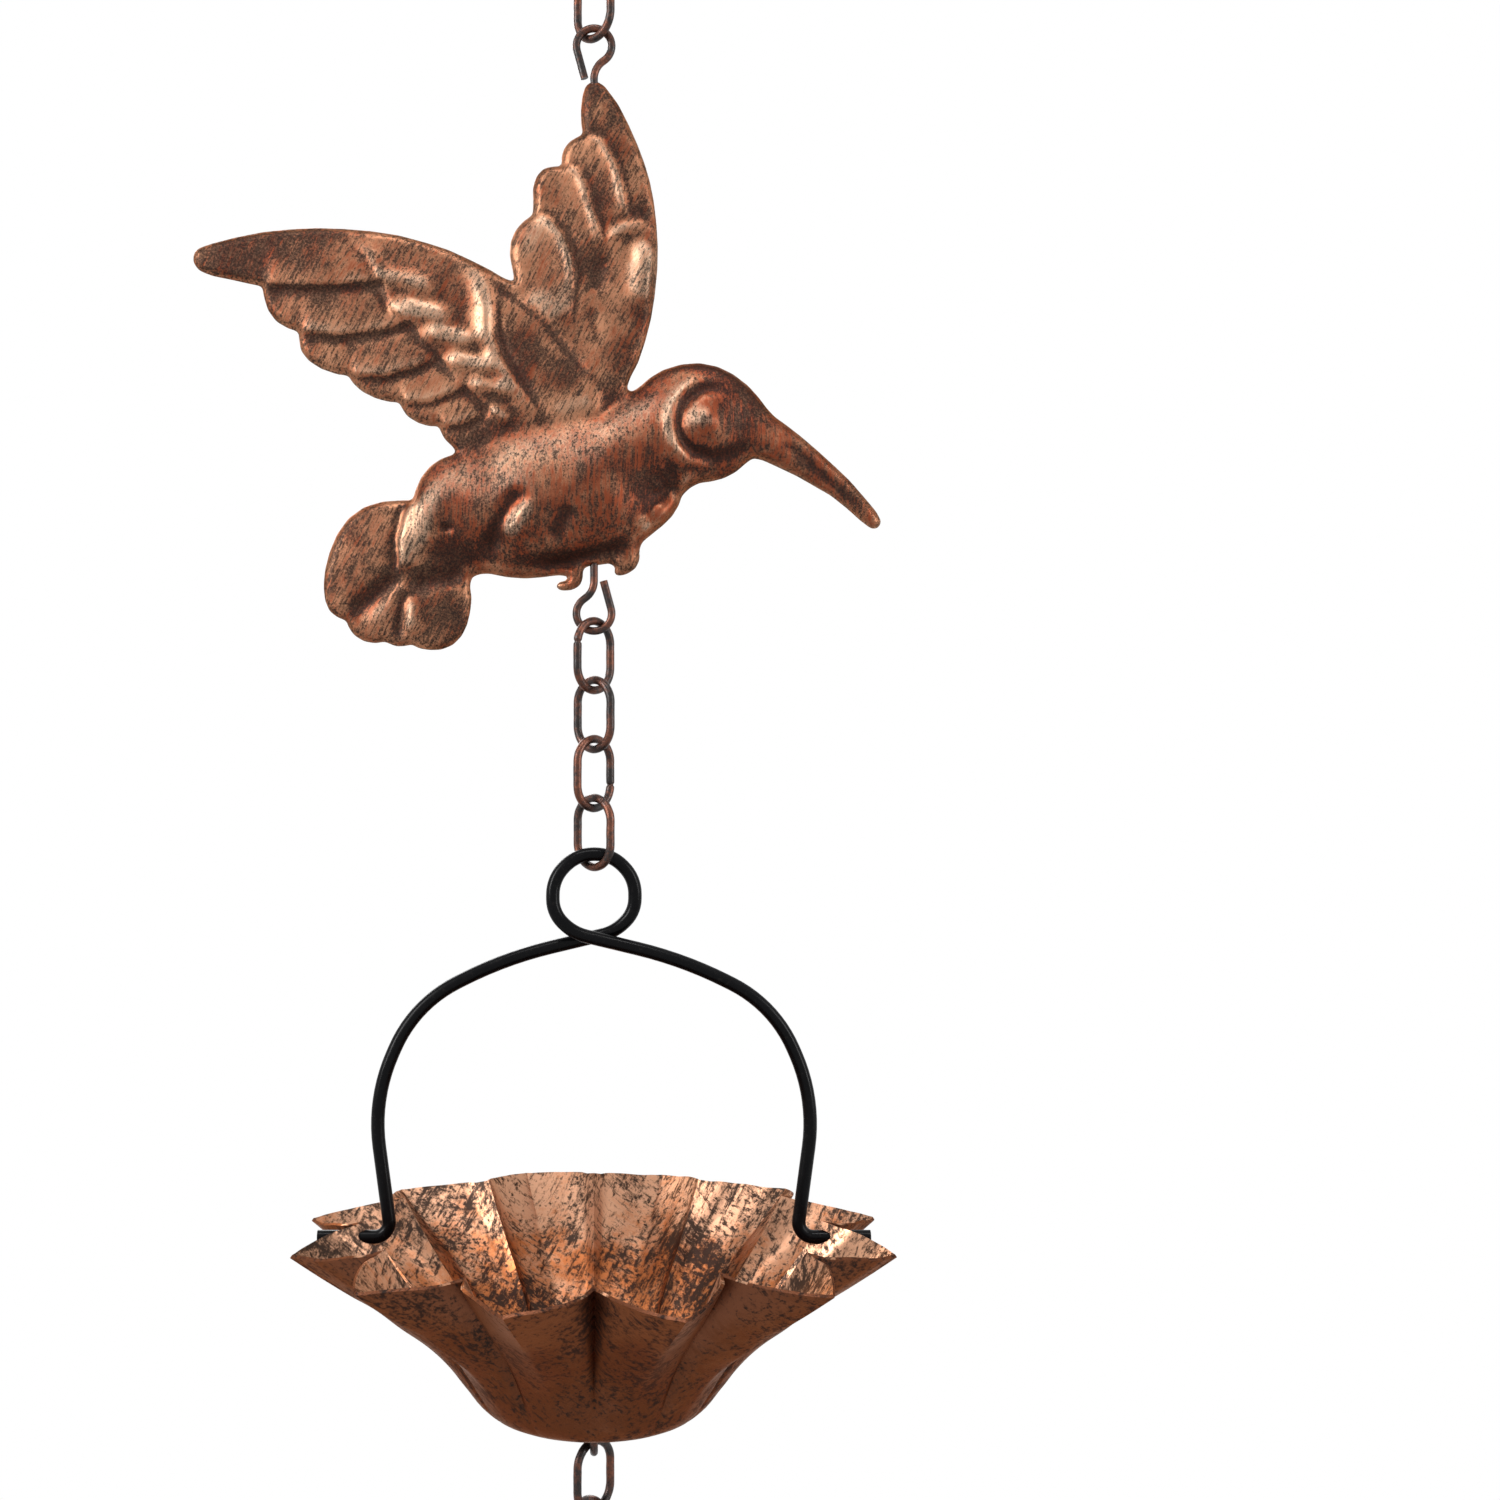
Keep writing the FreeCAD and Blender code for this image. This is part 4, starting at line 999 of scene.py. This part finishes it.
# Stage, light and camera.
FLOOR_HEIGHT = -0.6
FLOOR_RADIUS = 0.8
FLOOR_SIDES = 96
FLOOR_GREY = (0.86, 0.86, 0.86, 1)
FLOOR_ROUGHNESS = 0.9
FLOOR_WHITE_SHARE = 0.8
# The floor fades to white between these shares of its radius.
FLOOR_FADE = (0.2, 0.9)
WHITE = (1, 1, 1, 1)
PHOTO_WIDTH = 1500
PHOTO_CENTRE = 750
CAMERA_DISTANCE = 0.38
SENSOR = 36.0
LOW_SKY = 0.04
HIGH_SKY = 0.3
SKY_RANGE = (-0.6, 0.8)
LAMP_TARGET = Vector((0, 0, -0.15))
# Rows of (name, place, width, height, power).
SOFTBOXES = [
    ("left_softbox", (-0.75, -0.4, 0.15), 0.25, 0.5, 9.0),
    ("right_softbox", (0.8, -0.35, 0.0), 0.2, 0.6, 5.0),
    ("top_softbox", (0.0, -0.35, 0.72), 0.7, 0.15, 5.0),
    ("back_softbox", (-0.3, 0.75, 0.2), 0.5, 0.4, 4.0),
]


def seen_plainly(tree):
    """1 for what the camera sees, in reflections and through glass too, and 0 for other light."""
    path = tree.nodes.new("ShaderNodeLightPath").outputs
    seen = maths(tree, "MAXIMUM", path["Is Camera Ray"], path["Is Glossy Ray"])
    return maths(tree, "MAXIMUM", seen, path["Is Transmission Ray"])


def either(tree, share, first, second, output):
    """Sends a mix of two shaders to an output."""
    mix = new_node(tree, "ShaderNodeMixShader", Fac=share, i1=first, i2=second)
    tree.links.new(mix.outputs[0], output.inputs[0])


def pale_floor():
    """The round pale floor under the chain, which fades into the white surround towards its edge."""
    mesh = bpy.data.meshes.new("floor")
    points = [(x, y, FLOOR_HEIGHT) for x, y in ring(FLOOR_RADIUS, FLOOR_SIDES)]
    mesh.from_pydata(points, [], [range(FLOOR_SIDES)])
    floor = add_object("floor", mesh)
    material, tree, shader = new_material("pale_floor")
    feed(tree, shader, {"Base Color": FLOOR_GREY, "Roughness": FLOOR_ROUGHNESS})
    output = next(node for node in tree.nodes if node.type == "OUTPUT_MATERIAL")
    length = new_node(tree, "ShaderNodeVectorMath", {"operation": "LENGTH"}, i0=own_place(tree))
    near, far = (math.hypot(FLOOR_HEIGHT, share * FLOOR_RADIUS) for share in FLOOR_FADE)
    white_share = between(tree, length.outputs["Value"], near, far, FLOOR_WHITE_SHARE, 1.0)
    glow = new_node(tree, "ShaderNodeEmission", Color=WHITE, Strength=1.0)
    either(tree, times(tree, seen_plainly(tree), white_share), shader, glow, output)
    mesh.materials.append(material)


def plain_world():
    """A white surround in the picture and in reflections, and soft light elsewhere, mostly from above."""
    world = bpy.data.worlds.new("studio")
    bpy.context.scene.world = world
    world.use_nodes = True
    tree = world.node_tree
    tree.nodes.clear()
    direction = tree.nodes.new("ShaderNodeTexCoord").outputs["Generated"]
    upward = new_node(tree, "ShaderNodeSeparateXYZ", i0=direction).outputs["Z"]
    sky = between(tree, upward, *SKY_RANGE, LOW_SKY, HIGH_SKY)
    light = new_node(tree, "ShaderNodeBackground", Color=WHITE, Strength=sky)
    white = new_node(tree, "ShaderNodeBackground", Color=WHITE, Strength=1.0)
    either(tree, seen_plainly(tree), light, white, tree.nodes.new("ShaderNodeOutputWorld"))


def studio():
    """Two softboxes in front, one above and a weak one behind."""
    for name, place, width, height, power in SOFTBOXES:
        lamp = bpy.data.lights.new(name, "AREA")
        lamp.shape = "RECTANGLE"
        lamp.size = width
        lamp.size_y = height
        lamp.energy = power
        holder = add_object(name, lamp)
        holder.location = place
        holder.rotation_euler = (LAMP_TARGET - Vector(place)).to_track_quat("-Z", "Y").to_euler()


def camera():
    """The level camera of the photograph, its frame shifted so that the chain stands left of the middle."""
    data = bpy.data.cameras.new("camera")
    data.sensor_width = SENSOR
    frame_width = PHOTO_WIDTH * PIXEL * MM
    data.lens = SENSOR * CAMERA_DISTANCE / frame_width
    data.shift_x = (PHOTO_CENTRE - ROD_PIXEL_X) / PHOTO_WIDTH
    data.clip_start = 0.01
    holder = add_object("camera", data)
    middle = BELLY_HEIGHT * MM + (BELLY_PIXEL_Y - PHOTO_CENTRE) * PIXEL * MM
    holder.location = (0, -CAMERA_DISTANCE, middle)
    holder.rotation_euler = (math.radians(90), 0, 0)
    bpy.context.scene.camera = holder


def finish_node(name, material):
    """Gives a node of the frame its finish."""
    for slot in nodes[name].material_slots:
        slot.material = material


def build():
    """Every piece with its finish, then the stage."""
    copper = antiqued_copper()
    wire = dark_copper_wire()
    black = black_wire()
    outside = cup_copper("cup_outside_copper", **CUP_OUTSIDE)
    inside = cup_copper("cup_inside_copper", **CUP_INSIDE)
    fields = bird_fields()
    for name, facing in (("front", -1), ("back", 1)):
        mesh = sheet_mesh(f"bird_{name}_sheet", fields, facing)
        mesh.materials.append(copper)
        place_piece(f"bird_{name}_sheet", mesh, "bird", f"bird_{name}_shell")
    chain_links(wire)
    flower_cup(outside, inside)
    for name in ("hanging_ring", "bird_hanger_wire", "cup_eye"):
        finish_node(name, wire)
    finish_node("cup_bail", black)
    pale_floor()
    plain_world()
    studio()
    camera()
    bpy.context.scene.view_settings.view_transform = "Standard"


build()
bpy.context.view_layer.update()
